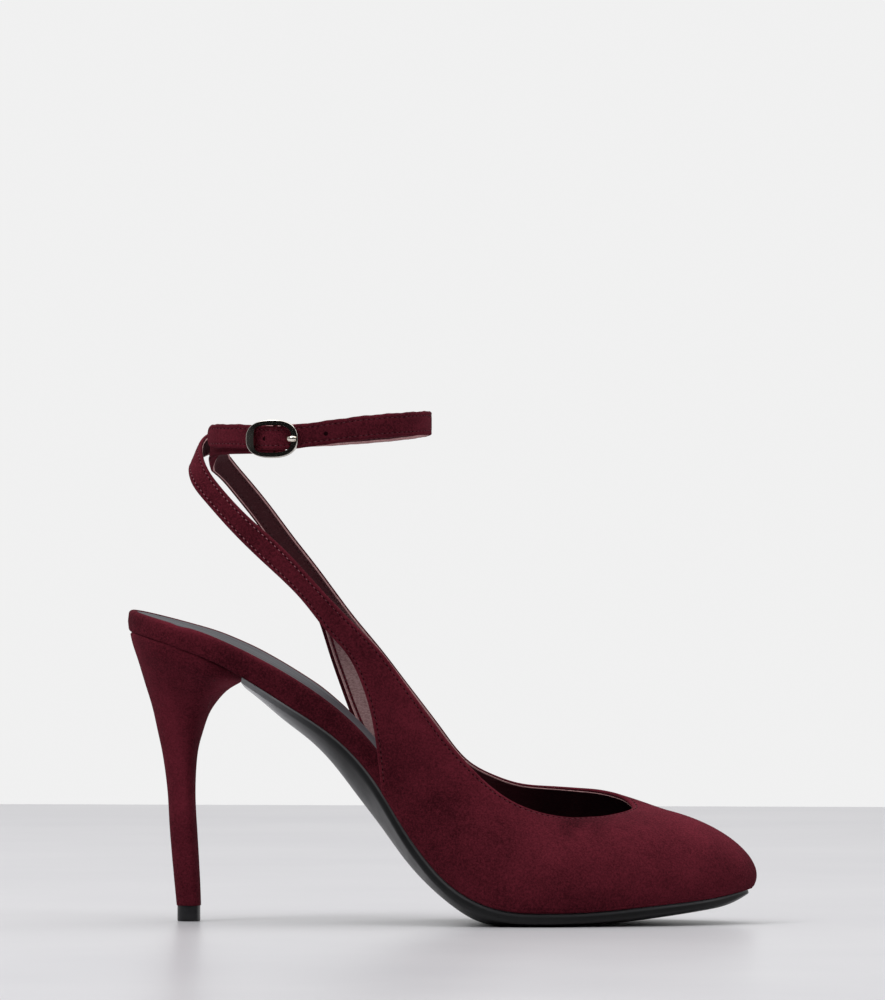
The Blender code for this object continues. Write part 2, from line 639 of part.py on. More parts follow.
def make_buckle(metal):
    frame = part("buckle_frame", closed_skin(36, 10, frame_point), metal)
    bar_turn = lateral_turn(BUCKLE_AT)
    ends = ((BUCKLE_HALF_HEIGHT, FRAME_LIFT), (5.1, BAR_LIFT + 0.6), (4.3, BAR_LIFT), (0.0, BAR_LIFT))
    half = [loop_point(bar_turn, lift, BUCKLE_HEIGHT + up) for up, lift in ends]
    other = [loop_point(bar_turn, lift, BUCKLE_HEIGHT - up) for up, lift in ends]
    path = half + other[-2::-1]
    bar = part("centre_bar", tube(path, [BAR_RADIUS] * len(path), 8), metal, collection=cutters)
    union(frame, bar)
    route = (
        (BUCKLE_AT + 1.8, BAR_LIFT - 0.05),
        (PRONG_HOLE_AT - 1.1, BAR_LIFT + 0.1),
        (PRONG_HOLE_AT, BAR_LIFT + 1.7),
        (PRONG_HOLE_AT + 1.1, FRAME_LIFT + 1.0),
        (BUCKLE_AT + BUCKLE_HALF_LENGTH - 0.4, FRAME_LIFT + 1.8),
        (BUCKLE_AT + BUCKLE_HALF_LENGTH + 1.0, FRAME_LIFT + 1.7),
    )
    steps = [loop_point(lateral_turn(x), lift, BUCKLE_HEIGHT) for x, lift in route]
    radii = [PRONG_RADIUS] * (len(steps) - 1) + [PRONG_RADIUS * 0.7]
    part("buckle_prong", tube(steps, radii, 8, PRONG_WIDENING), metal)


def punch_prong_hole(strap, finish):
    """The hole of the strap that the prong comes up through."""
    turn = lateral_turn(PRONG_HOLE_AT)
    inside, outside = (Vector(loop_point(turn, lift, BUCKLE_HEIGHT)) for lift in (-4.0, 8.0))
    bm = bmesh.new()
    depth = (outside - inside).length * MM
    radius = PRONG_HOLE_RADIUS * MM
    bmesh.ops.create_cone(bm, cap_ends=True, segments=12, radius1=radius, radius2=radius, depth=depth)
    facing = (outside - inside).to_track_quat("Z", "Y").to_matrix().to_4x4()
    centre = ((inside + outside) / 2 - Vector((*ORIGIN_AT, 0.0))) * MM
    bmesh.ops.transform(bm, matrix=Matrix.Translation(centre) @ facing, verts=bm.verts)
    punch = part("prong_hole", bm, finish, collection=cutters)
    cut = strap.modifiers.new("prong_hole", "BOOLEAN")
    cut.operation = "DIFFERENCE"
    cut.object = punch
    hide(punch)


def make_shoe():
    suede = material("burgundy_suede", (0.115, 0.016, 0.024), 0.9)
    black_leather = material("outsole_leather", (0.02, 0.018, 0.018), 0.35)
    sock_leather = material("sock_leather", (0.05, 0.045, 0.048), 0.5)
    rubber = material("top_piece_rubber", (0.015, 0.014, 0.014), 0.6)
    metal = material("pale_gold_metal", (0.72, 0.66, 0.54), 0.2, 1.0)
    part("outsole", closed_skin(len(SOLE_SECTION), 40, outsole_point), black_leather)
    part("insole", closed_skin(len(SLAB_SECTION), 40, insole_point), suede)
    part("sock", closed_skin(len(SLAB_SECTION), 40, sock_point), sock_leather)
    part("heel", closed_skin(24, 24, heel_point), suede)
    part("heel_tip", closed_skin(24, 2, heel_tip_point), rubber)
    upper = part("upper", bent_grid(sum(UPPER_COLUMNS), UPPER_ROWS, upper_surface()), suede)
    thicken(upper, WALL)
    ankle_strap = part("ankle_strap", bent_grid(96, 2, ankle_strap_point), suede)
    thicken(ankle_strap, WALL)
    punch_prong_hole(ankle_strap, suede)
    tab = part("buckle_tab", bent_grid(32, 2, tab_surface()), suede)
    thicken(tab, WALL)
    make_buckle(metal)


for thing in list(bpy.data.objects):
    bpy.data.objects.remove(thing)
bpy.context.scene.collection.children.link(shoe)
bpy.context.scene.collection.children.link(cutters)
make_shoe()
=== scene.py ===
import math
from collections import namedtuple

import bmesh
import bpy
import numpy as np
from mathutils import Matrix, Vector


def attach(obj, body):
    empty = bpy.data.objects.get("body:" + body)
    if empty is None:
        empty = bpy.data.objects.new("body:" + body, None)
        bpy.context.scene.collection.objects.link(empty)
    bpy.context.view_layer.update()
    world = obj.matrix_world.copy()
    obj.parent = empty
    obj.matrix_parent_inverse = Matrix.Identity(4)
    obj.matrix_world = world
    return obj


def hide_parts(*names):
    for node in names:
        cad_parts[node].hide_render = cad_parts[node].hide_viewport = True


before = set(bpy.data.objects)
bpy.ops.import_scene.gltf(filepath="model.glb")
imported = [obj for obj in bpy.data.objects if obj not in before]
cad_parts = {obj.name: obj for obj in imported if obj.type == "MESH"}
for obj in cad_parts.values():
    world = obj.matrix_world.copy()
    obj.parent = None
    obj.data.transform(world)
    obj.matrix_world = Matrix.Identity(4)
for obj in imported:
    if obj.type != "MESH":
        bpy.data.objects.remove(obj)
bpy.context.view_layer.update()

# The photograph's view: the shoe stands side on with its lateral side to the camera, seen from a
# little in front of square and from below ankle height, through a long lens. Places are written in
# the shoe's own millimetres, from the back of the heel seat, and moved to the frame's origin.
MM = 0.001
FRAME_ORIGIN = Vector((106.0, 0.3, 0.0))
LOOK_AT = Vector((106.6, 0.0, 143.48))
VIEW_AZIMUTH = math.radians(6.5)
VIEW_DISTANCE = 2500.0
EYE_HEIGHT = 112.0
VIEW_HEIGHT = 340.0


def in_frame(place):
    return (Vector(place) - FRAME_ORIGIN) * MM


dip = math.asin((EYE_HEIGHT - LOOK_AT.z) / VIEW_DISTANCE)
backwards = Vector(
    (math.sin(VIEW_AZIMUTH) * math.cos(dip), -math.cos(VIEW_AZIMUTH) * math.cos(dip), math.sin(dip))
)
lens = bpy.data.cameras.new("camera")
lens.sensor_width = 36.0
lens.lens = lens.sensor_width * VIEW_DISTANCE / VIEW_HEIGHT
lens.clip_end = 30.0
camera = bpy.data.objects.new("camera", lens)
camera.location = in_frame(LOOK_AT + backwards * VIEW_DISTANCE)
camera.rotation_euler = (-backwards).to_track_quat("-Z", "Y").to_euler()
bpy.context.scene.collection.objects.link(camera)
bpy.context.scene.camera = camera

# The insole: a stiff board on the bottom of the last, thick under heel and waist and thin under the
# ball of the foot. A strip of suede is wrapped round its edge and turned over its top, so the edge is
# soft and rounded above, and tucked in tighter below where it meets sole and heel.
FEATHER_BACK = -3.2
FEATHER_TIP = 211.5
HEEL_ROUND = 26.0
BALL_AT = 145.0
BALL_HALF_WIDTH = 37.75
TOE_FULLNESS = 1.35
TOE_TAPER = 0.55
WALL = 1.6
GAP = 0.3
RAND_INSET = WALL + 2 * GAP
RAND_LOWER_RADIUS = 1.1
RAND_UPPER_RADIUS = 2.0
RAND_CREST = 0.35
RAND_BED = 0.45
RAND_BULGE = 0.25
RAND_STATIONS = 420
SPINE_FROM_HEEL = 15.0
SPINE_FROM_TOE = 22.0
RAND_DENT_AT = 19.6
RAND_DENT_LENGTH = 2.2
RAND_DENT_DEPTH = 0.4
SHARP_FROM = math.radians(50.0)
Stroke = namedtuple("Stroke", "side x z reach lean width amount")
# Painted light and shade on the rand's suede: thin lighter strokes along the top of its rounded edge, broad
# darker ones lower down its side, and a darker patch at the back.
RAND_PAINTED_SHADING = (
    Stroke(-1, 42.0, 87.0, 22.0, -31.0, 5.0, -0.32),
    Stroke(-1, 68.0, 72.5, 10.0, -42.0, 6.0, -0.26),
    Stroke(-1, 84.0, 57.0, 9.0, -55.0, 6.0, -0.3),
    Stroke(-1, 20.0, 100.0, 14.0, -19.0, 1.8, 0.4),
    Stroke(-1, 46.0, 91.0, 12.0, -30.0, 1.4, 0.3),
    Stroke(0, 3.0, 104.0, 5.0, 0.0, 4.0, -0.18),
)
Bottom = namedtuple("Bottom", "x height half_width middle board medial_board lean")
BOTTOM = (
    Bottom(-3.6, 99.5, 26.0, 0.0, 7.3, 7.3, 0.0),
    Bottom(17.0, 93.4, 26.0, 0.0, 7.6, 7.6, 0.0),
    Bottom(30.0, 88.8, 26.1, 0.0, 8.1, 8.1, 0.0),
    Bottom(42.0, 82.4, 25.4, -0.2, 8.5, 8.5, 0.3),
    Bottom(56.4, 73.3, 23.2, -1.2, 8.8, 8.4, 0.8),
    Bottom(66.0, 67.2, 22.4, -1.7, 8.2, 6.7, 1.0),
    Bottom(76.0, 59.4, 22.6, -2.0, 7.3, 4.0, 1.0),
    Bottom(83.0, 51.9, 23.6, -2.1, 6.8, 3.1, 1.0),
    Bottom(89.0, 43.8, 25.0, -2.3, 6.2, 2.9, 1.0),
    Bottom(96.0, 32.9, 27.0, -2.5, 4.9, 2.8, 1.0),
    Bottom(103.0, 23.4, 29.3, -2.5, 4.0, 2.8, 1.0),
    Bottom(110.0, 15.8, 31.7, -2.3, 3.2, 2.8, 1.0),
    Bottom(117.0, 10.6, 34.0, -1.9, 2.9, 2.8, 1.0),
    Bottom(124.0, 7.2, 35.8, -1.3, 2.8, 2.8, 1.0),
    Bottom(132.0, 5.0, 37.2, -0.5, 2.8, 2.8, 1.0),
    Bottom(145.0, 4.2, 37.75, 0.7, 2.8, 2.8, 1.0),
    Bottom(160.0, 4.5, 36.0, 2.0, 2.8, 2.8, 1.0),
    Bottom(177.0, 6.0, 29.6, 3.3, 2.8, 2.8, 1.0),
    Bottom(191.5, 7.5, 21.5, 4.2, 2.8, 2.8, 1.0),
    Bottom(202.0, 9.0, 13.0, 4.7, 2.8, 2.8, 1.0),
    Bottom(211.9, 11.4, 1.0, 5.0, 2.8, 2.8, 1.0),
)


def through(knots, values):
    """A smooth curve through the values at the knots that never overshoots them."""
    knots = np.asarray(knots, float)
    values = np.asarray(values, float)
    steps = np.diff(knots)
    slopes = np.diff(values) / steps
    before, after = slopes[:-1], slopes[1:]
    rising = before * after > 0
    total = np.where(rising, before + after, 1.0)
    inner = np.where(rising, 2 * before * after / total, 0.0)
    tangents = np.concatenate((slopes[:1], inner, slopes[-1:]))

    def at(x):
        i = np.clip(np.searchsorted(knots, x) - 1, 0, len(steps) - 1)
        t = (x - knots[i]) / steps[i]
        start = values[i] * (1 + 2 * t) + tangents[i] * steps[i] * t
        end = values[i + 1] * (3 - 2 * t) - tangents[i + 1] * steps[i] * (1 - t)
        return start * (1 - t) ** 2 + end * t**2

    return at


def natural(knots, values):
    """The natural cubic curve through the values, or the points, at the knots."""
    knots = np.asarray(knots, float)
    values = np.asarray(values, float)
    steps = np.diff(knots)
    system = np.eye(len(knots))
    load = np.zeros_like(values)
    for i in range(1, len(knots) - 1):
        system[i, i - 1 : i + 2] = steps[i - 1], 2 * (steps[i - 1] + steps[i]), steps[i]
        ahead = (values[i + 1] - values[i]) / steps[i]
        load[i] = 6 * (ahead - (values[i] - values[i - 1]) / steps[i - 1])
    bends = np.linalg.solve(system, load)

    def at(x):
        i = np.clip(np.searchsorted(knots, x) - 1, 0, len(steps) - 1)
        b = (x - knots[i]) / steps[i]
        a = 1 - b
        bending = (a**3 - a) * bends[i] + (b**3 - b) * bends[i + 1]
        return a * values[i] + b * values[i + 1] + bending * steps[i] ** 2 / 6

    return at


def along_x(rows, name, curve=through):
    return curve([row.x for row in rows], [getattr(row, name) for row in rows])


feather_height = along_x(BOTTOM, "height", natural)
waist_half_width = along_x(BOTTOM, "half_width", natural)
feather_middle = along_x(BOTTOM, "middle", natural)
full_board = along_x(BOTTOM, "board", natural)
medial_board = along_x(BOTTOM, "medial_board")
section_lean = along_x(BOTTOM, "lean")


def half_width(x):
    """Half the width of the feather line: round at the heel, almond at the toe."""
    reach = np.clip((x - BALL_AT) / (FEATHER_TIP - BALL_AT), 0.0, 1.0)
    toe = BALL_HALF_WIDTH * (1 - reach**TOE_FULLNESS) ** TOE_TAPER
    back = np.clip(1 - (x - FEATHER_BACK) / HEEL_ROUND, 0.0, 1.0)
    return np.where(x > BALL_AT, toe, waist_half_width(x) * np.sqrt(1 - back**2))


def board_thickness(x, y):
    """Thickness of the insole board at a place, full at its middle and lateral side and skived thin at
    its medial edge where the upper covers it."""
    to_medial = np.clip((y - feather_middle(x)) / np.maximum(half_width(x), 1.0), 0.0, 1.0)
    return full_board(x) + (medial_board(x) - full_board(x)) * to_medial**2


def on_last(x, y, rise):
    """Points that stand rise above the last's bottom at x, y across."""
    slope = feather_height(x + 0.5) - feather_height(x - 0.5)
    angle = np.arctan(slope) * section_lean(x)
    return np.stack((x - rise * np.sin(angle), y, feather_height(x) + rise * np.cos(angle)), axis=-1)


def edge_profile(lower, upper, crest=0.0, bed=0.0, bulge=0.0, steps=7):
    """A slab's section from the middle of its underside round its edge to the middle of its top, as
    how far each point is drawn in from the edge, its rise, and its share of the thickness. The rounded
    edge rises to a crest, and the top inside it slopes down to the bed."""
    to_middle, far_in, near_in, slope = 1000.0, 14.0, 6.0, 1.2
    turns = np.linspace(0.0, math.pi / 2, steps)
    under = [(draw_in, 0.0, 0.0) for draw_in in (to_middle, far_in, near_in)]
    low = [(lower - lower * math.sin(a), lower - lower * math.cos(a), 0.0) for a in turns]
    side = [(-bulge, (lower + crest - upper) / 2, 0.5)]
    high = [(upper - upper * math.cos(a), upper * math.sin(a) - upper + crest, 1.0) for a in turns]
    eased = [(s, s * s * (3 - 2 * s)) for s in (0.3, 0.6, 1.0)]
    inside = [(upper + slope * s, crest - (crest + bed) * drop, 1.0) for s, drop in eased]
    top = [(draw_in, -bed, 1.0) for draw_in in (near_in, far_in, to_middle)]
    return under + low + side + high + inside + top


def slab(inset, base, thickness, profile, count):
    """A closed slab that follows the feather line all round, drawn in from it by inset."""
    turn = np.linspace(0.0, 2 * math.pi, count + 1)
    length = FEATHER_TIP - FEATHER_BACK
    x = FEATHER_BACK + length * (1 - np.cos(turn)) / 2
    y = feather_middle(x) - np.sign(np.sin(turn)) * half_width(x)
    spine_x = np.clip(x, FEATHER_BACK + SPINE_FROM_HEEL, FEATHER_TIP - SPINE_FROM_TOE)
    spine_y = feather_middle(spine_x)
    reach = np.hypot(spine_x - x, spine_y - y)
    rows = []
    for draw_in, rise, share in profile:
        step = np.minimum(inset + draw_in, reach) / reach
        row_x = x + (spine_x - x) * step
        row_y = y + (spine_y - y) * step
        rows.append(on_last(row_x, row_y, base(row_x, row_y) + rise + share * thickness(row_x, row_y)))
    return np.stack(rows, axis=1)


def trough(distance, width):
    return np.exp(-((distance / width) ** 2))


def strokes(points, marks):
    """What soft strokes add up to at each point, as heights of creases, or as tones of the nap and of
    painted light and shade.
    """
    total = np.zeros(points.shape[:-1])
    for mark in marks:
        lean = math.radians(mark.lean)
        x, z = points[..., 0] - mark.x, points[..., 2] - mark.z
        along = x * math.cos(lean) + z * math.sin(lean)
        across = z * math.cos(lean) - x * math.sin(lean)
        stroke = mark.amount * trough(along, mark.reach) * trough(across, mark.width)
        total += np.where(points[..., 1] * mark.side >= 0, stroke, 0.0)
    return total


def skin(points, slots=0, painted_shading_and_nap=0.0):
    """A grid laid over rows of points, with its seam welded and its open ends capped. slots gives the
    material slot of the whole grid, of each strip across it or of each of its faces, and
    painted_shading_and_nap how much lighter each point is drawn, from its nap and from painted light
    and shade."""
    along, across = points.shape[0] - 1, points.shape[1] - 1
    slots = np.broadcast_to(np.asarray(slots), (along, across))
    painted_shading_and_nap = np.broadcast_to(np.asarray(painted_shading_and_nap, float), points.shape[:2])
    bm = bmesh.new()
    bmesh.ops.create_grid(bm, x_segments=along, y_segments=across, size=0.5)
    # Each point's tone, from its nap and from painted light and shade.
    nap = bm.verts.layers.float.new("painted_shading_and_nap")
    for face in bm.faces:
        middle = face.calc_center_median()
        face.material_index = int(slots[int((middle.x + 0.5) * along), int((middle.y + 0.5) * across)])
    for vert in bm.verts:
        column = round((vert.co.x + 0.5) * along)
        row = round((vert.co.y + 0.5) * across)
        vert.co = in_frame(points[column, row])
        vert[nap] = float(painted_shading_and_nap[column, row])
    bmesh.ops.remove_doubles(bm, verts=bm.verts, dist=1e-6)
    rims = [edge for edge in bm.edges if edge.is_boundary]
    if rims:
        bmesh.ops.holes_fill(bm, edges=rims, sides=0)
    bmesh.ops.recalc_face_normals(bm, faces=bm.faces)
    return bm


def piece(name, bm, finishes, slot, *nodes):
    """Makes a mesh a piece of the shoe, in place of the nodes named."""
    mesh = bpy.data.meshes.new(name)
    bm.to_mesh(mesh)
    bm.free()
    mesh.shade_smooth()
    mesh.set_sharp_from_angle(angle=SHARP_FROM)
    for finish in finishes:
        mesh.materials.append(finish)
    made = bpy.data.objects.new(name, mesh)
    bpy.context.scene.collection.objects.link(made)
    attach(made, "root")
    if nodes:
        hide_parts(*nodes)


def plain_finish(name, colour, roughness, **sockets):
    """A material whose shader has these values; its patterns are wired in afterwards."""
    made = bpy.data.materials.new(name)
    made.use_nodes = True
    shader = made.node_tree.nodes["Principled BSDF"]
    shader.inputs["Base Color"].default_value = (*colour, 1.0)
    shader.inputs["Roughness"].default_value = roughness
    for socket, value in sockets.items():
        shader.inputs[socket.replace("_", " ")].default_value = value
    return made


def noise(finish, scale, detail, roughness=0.55, stretch=(1.0, 1.0, 1.0)):
    """A noise over the piece, in cycles per metre, drawn out along an axis where its stretch is small."""
    nodes, links = finish.node_tree.nodes, finish.node_tree.links
    place = nodes.new("ShaderNodeTexCoord")
    made = nodes.new("ShaderNodeTexNoise")
    made.inputs["Scale"].default_value = scale
    made.inputs["Detail"].default_value = detail
    made.inputs["Roughness"].default_value = roughness
    drawn = nodes.new("ShaderNodeMapping")
    drawn.inputs["Scale"].default_value = stretch
    links.new(place.outputs["Object"], drawn.inputs["Vector"])
    links.new(drawn.outputs["Vector"], made.inputs["Vector"])
    return made.outputs["Fac"]


def spread(finish, value, low, high, to_low=0.0, to_high=1.0):
    """Stretches a range of a pattern."""
    made = finish.node_tree.nodes.new("ShaderNodeMapRange")
    for socket, number in zip(("From Min", "From Max", "To Min", "To Max"), (low, high, to_low, to_high)):
        made.inputs[socket].default_value = number
    finish.node_tree.links.new(value, made.inputs["Value"])
    return made.outputs["Result"]


def combined(finish, first, second, operation="ADD"):
    """Two patterns added or multiplied."""
    made = finish.node_tree.nodes.new("ShaderNodeMath")
    made.operation = operation
    for socket, pattern in zip(made.inputs, (first, second)):
        finish.node_tree.links.new(pattern, socket)
    return made.outputs["Value"]


def read_painted_shading_and_nap(finish):
    """The piece's own attribute that says how much lighter each point is drawn: the nap's tone with
    painted light and shade on the suede, a painted highlight on the outsole.
    """
    made = finish.node_tree.nodes.new("ShaderNodeAttribute")
    made.attribute_name = "painted_shading_and_nap"
    return made.outputs["Fac"]


def wire(finish, pattern, socket):
    """Sends a pattern to a socket of the shader."""
    shader = finish.node_tree.nodes["Principled BSDF"]
    finish.node_tree.links.new(pattern, shader.inputs[socket])


def colours(finish, pattern, *stops):
    """Colours along a pattern, as (place, colour) stops, sent to the shader."""
    ramp = finish.node_tree.nodes.new("ShaderNodeValToRGB")
    elements = ramp.color_ramp.elements
    for index, (place, colour) in enumerate(stops):
        element = elements[index] if index < 2 else elements.new(place)
        element.position = place
        element.color = (*colour, 1.0)
    finish.node_tree.links.new(pattern, ramp.inputs["Fac"])
    wire(finish, ramp.outputs["Color"], "Base Color")


def relief(finish, pattern, height):
    """Bumps of a pattern, height in metres."""
    bump = finish.node_tree.nodes.new("ShaderNodeBump")
    bump.inputs["Distance"].default_value = height
    bump.inputs["Strength"].default_value = 1.0
    finish.node_tree.links.new(pattern, bump.inputs["Height"])
    wire(finish, bump.outputs["Normal"], "Normal")


def suede_finish(name, dark, light):
    """Suede: a short nap that lies this way and that, so it is lighter and darker in patches, with a fine
    grain of fibres. Each piece's own attribute adds the tone of its nap and painted light and shade."""
    made = plain_finish(
        name, light, 0.95, Specular_IOR_Level=0.03, Sheen_Weight=0.05, Sheen_Roughness=0.45,
        Sheen_Tint=(0.75, 0.25, 0.33, 1.0),
    )
    patches = spread(made, noise(made, 70.0, 3.0, 0.5), 0.32, 0.68, 0.0, 0.2)
    mottle = spread(made, noise(made, 300.0, 3.0, 0.6), 0.32, 0.68, 0.0, 0.11)
    nap = spread(made, noise(made, 1500.0, 3.0, 0.7), 0.36, 0.64, 0.0, 0.44)
    fibre = spread(made, noise(made, 4200.0, 2.0, 0.6), 0.35, 0.65, 0.0, 0.25)
    grain = combined(made, nap, fibre)
    tone = combined(made, combined(made, patches, mottle), grain)
    # The piece's attribute carries painted light and shade as well as the tone of its nap.
    tone_with_painted_shading = combined(made, tone, read_painted_shading_and_nap(made))
    colours(made, spread(made, tone_with_painted_shading, 0.05, 1.4), (0.0, dark), (1.0, light))
    relief(made, grain, 0.00026)
    return made


SUEDE_DARK = (0.030, 0.0034, 0.0064)
SUEDE_LIGHT = (0.206, 0.0250, 0.0420)
suede = suede_finish("burgundy_suede", SUEDE_DARK, SUEDE_LIGHT)
rand = slab(
    RAND_INSET,
    lambda x, y: GAP,
    board_thickness,
    edge_profile(RAND_LOWER_RADIUS, RAND_UPPER_RADIUS, RAND_CREST, RAND_BED, RAND_BULGE),
    RAND_STATIONS,
)
rand_x, rand_y, rand_z = np.moveaxis(rand, -1, 0)
rand_level = np.clip((rand_z - feather_height(rand_x)) / full_board(rand_x), 0.0, 1.0)
rand_dent = trough(rand_x - RAND_DENT_AT, RAND_DENT_LENGTH) * (rand_y < 0)
rand[..., 2] -= RAND_DENT_DEPTH * rand_dent * rand_level**2
piece("insole_rand", skin(rand, painted_shading_and_nap=strokes(rand, RAND_PAINTED_SHADING)), [suede], "suede", "insole")

# The sock: thin dark leather glued on the insole just inside the rounded edge of the rand. It is
# smooth and a little shiny, with faint streaks along the foot, so it takes a grey light from above.
SOCK_INSET = 5.0
SOCK_RISE = 0.05
SOCK_OFF_BED = 0.02
SOCK_LOWER_RADIUS = 0.05
SOCK_EDGE_RADIUS = 0.35
SOCK_STATIONS = 360
SOCK_STREAKS = (0.06, 1.0, 0.06)
sock_leather = plain_finish("sock_leather", (0.02, 0.02, 0.027), 0.5, Specular_IOR_Level=0.25)
sock_grain = noise(sock_leather, 1500.0, 4.0, 0.6)
sock_streaks = noise(sock_leather, 260.0, 3.0, 0.6, SOCK_STREAKS)
colours(
    sock_leather, spread(sock_leather, sock_streaks, 0.35, 0.65),
    (0.0, (0.016, 0.016, 0.022)), (1.0, (0.036, 0.036, 0.048)),
)
wire(sock_leather, spread(sock_leather, sock_streaks, 0.35, 0.65, 0.56, 0.42), "Roughness")
relief(sock_leather, sock_grain, 0.00006)
sock = slab(
    SOCK_INSET,
    lambda x, y: GAP + board_thickness(x, y) - RAND_BED + SOCK_OFF_BED,
    lambda x, y: RAND_BED + SOCK_RISE,
    edge_profile(SOCK_LOWER_RADIUS, SOCK_EDGE_RADIUS),
    SOCK_STATIONS,
)
piece("sock_sheet", skin(sock), [sock_leather], "sock_leather", "sock")

# The upper: suede cut so that the sides of the vamp run back into the two sling straps. Its edges are
# folded in over the backing and sewn down a few millimetres from the fold; the vamp is pulled over the
# last, so it is smooth, with only slack ripples beside the throat and where the sides bend.
FOLD_RADIUS = 0.8
FOLD_DEPTH = 0.95
SUEDE_WALL = 1.05
STITCH_FROM_EDGE = 1.45
STITCH_TROUGH = 0.16
STITCH_PULL = 0.32
# Painted light and shade in the creases: their ridges lighter, their troughs darker.
CREASE_PAINTED_SHADING = 0.5
FOLD_TONE = 0.16
FOLD_TONE_REACH = 1.0
# Painted shade where the suede is tucked in behind its folds.
TUCKED_SHADE = -0.3
TUCKED_FROM = 0.6 * WALL
EDGE_STEPS = np.array((0.8, 1.05, 1.25, 1.45, 1.65, 1.85, 2.2, 2.8, 3.6))
FACE_ROWS = 34
BACK_ROWS = 18
FOLD_TURNS = np.linspace(0.0, math.pi, 9)
# Painted light and shade over the upper's suede, partly the tone of its nap: lighter where light falls on
# it, darker low on the vamp by the sole and in its hollows.
UPPER_NAP_AND_PAINTED_SHADING = (
    Stroke(0, 192.0, 34.5, 22.0, -24.0, 4.5, 0.3),
    Stroke(-1, 182.0, 22.0, 20.0, -14.0, 10.0, 0.12),
    Stroke(-1, 205.0, 20.0, 8.0, 60.0, 6.0, 0.08),
    Stroke(-1, 128.0, 43.5, 13.0, -42.0, 4.5, 0.24),
    Stroke(-1, 114.0, 53.0, 9.0, -52.0, 5.0, 0.18),
    Stroke(-1, 100.0, 68.0, 10.0, -30.0, 3.0, 0.14),
    Stroke(-1, 97.0, 80.0, 9.0, -52.0, 4.0, 0.12),
    Stroke(-1, 143.0, 32.0, 8.0, -15.0, 4.0, 0.1),
    Stroke(-1, 151.0, 17.0, 6.0, -10.0, 3.5, 0.08),
    Stroke(-1, 117.0, 30.0, 11.0, 60.0, 6.5, -0.22),
    Stroke(-1, 106.0, 43.0, 7.0, 0.0, 6.0, -0.18),
    Stroke(-1, 109.0, 21.0, 14.0, -50.0, 6.0, -0.16),
    Stroke(-1, 91.0, 54.0, 9.0, -70.0, 3.5, -0.18),
    Stroke(-1, 156.0, 35.0, 6.0, 0.0, 2.6, -0.34),
    Stroke(-1, 140.0, 3.0, 26.0, 0.0, 3.0, -0.34),
    Stroke(-1, 47.0, 129.5, 6.0, -40.0, 3.0, -0.12),
    Stroke(-1, 57.0, 117.0, 7.0, -45.0, 3.0, 0.1),
    Stroke(-1, 71.0, 106.0, 5.0, -50.0, 3.5, -0.18),
    Stroke(-1, 82.0, 94.0, 4.0, -50.0, 3.0, -0.16),
)
CREASES = (
    Stroke(-1, 152.0, 33.0, 4.5, 78.0, 2.6, -0.3),
    Stroke(-1, 157.0, 31.5, 4.0, 80.0, 2.4, 0.16),
    Stroke(-1, 162.0, 31.5, 4.5, 75.0, 2.6, -0.22),
    Stroke(-1, 151.0, 24.0, 15.0, 15.0, 5.0, 0.22),
    Stroke(-1, 129.0, 29.0, 9.0, 55.0, 4.5, -0.26),
    Stroke(-1, 120.0, 31.0, 9.0, 55.0, 4.0, 0.14),
    Stroke(-1, 111.0, 41.0, 7.0, 40.0, 4.5, -0.28),
    Stroke(-1, 95.0, 51.0, 9.0, 75.0, 4.0, -0.24),
    Stroke(-1, 98.0, 69.0, 6.0, 60.0, 4.0, 0.2),
    Stroke(-1, 161.0, 8.5, 14.0, 3.0, 3.0, -0.2),
    Stroke(-1, 186.0, 29.0, 12.0, -20.0, 4.5, 0.18),
    Stroke(-1, 203.0, 18.0, 5.0, 60.0, 4.5, -0.14),
    Stroke(1, 130.0, 33.0, 9.0, 60.0, 4.5, -0.26),
    Stroke(1, 140.0, 30.0, 9.0, 65.0, 4.5, 0.18),
    Stroke(1, 151.0, 37.0, 5.0, 80.0, 2.6, -0.26),
    Stroke(1, 105.0, 47.0, 8.0, 45.0, 4.5, -0.24),
    Stroke(1, 168.0, 22.0, 13.0, -10.0, 5.0, 0.2),
)
StrapRib = namedtuple("StrapRib", "lower upper")
VampRib = namedtuple("VampRib", "feather_x top_x top_y top_z belly_out belly_up brow_out brow_up")
STRAP_FILL = (0.35, 0.0, 0.35, 0.0)
LATERAL_STRAP = (
    StrapRib((31.1, 15.3, 161.05), (31.1, 15.3, 169.15)),
    StrapRib((23.2, 9.0, 158.7), (24.7, 9.2, 166.8)),
    StrapRib((20.1, 0.0, 155.9), (23.2, 0.0, 163.6)),
    StrapRib((20.5, -9.8, 153.0), (24.6, -8.0, 160.2)),
    StrapRib((22.9, -16.0, 148.5), (27.9, -14.4, 154.4)),
    StrapRib((28.2, -20.0, 142.4), (33.4, -19.0, 147.7)),
    StrapRib((36.2, -23.0, 133.8), (41.9, -22.8, 139.0)),
    StrapRib((49.0, -25.6, 121.6), (55.0, -25.8, 127.4)),
    StrapRib((61.5, -26.6, 109.6), (67.4, -26.9, 114.4)),
    StrapRib((70.3, -26.9, 98.8), (78.4, -27.2, 102.9)),
    StrapRib((77.6, -26.8, 90.3), (88.4, -27.3, 92.6)),
    StrapRib((83.0, -26.6, 78.5), (96.5, -27.3, 82.1)),
    StrapRib((86.1, -26.7, 66.5), (104.6, -27.4, 71.2)),
)
LATERAL_CORNER = VampRib(88.6, 112.6, -27.4, 60.8, 1.0, 0.0, 0.6, 0.2)
MEDIAL_CORNER = VampRib(77.5, 94.8, 26.4, 76.5, 0.8, 0.0, 0.6, 0.2)
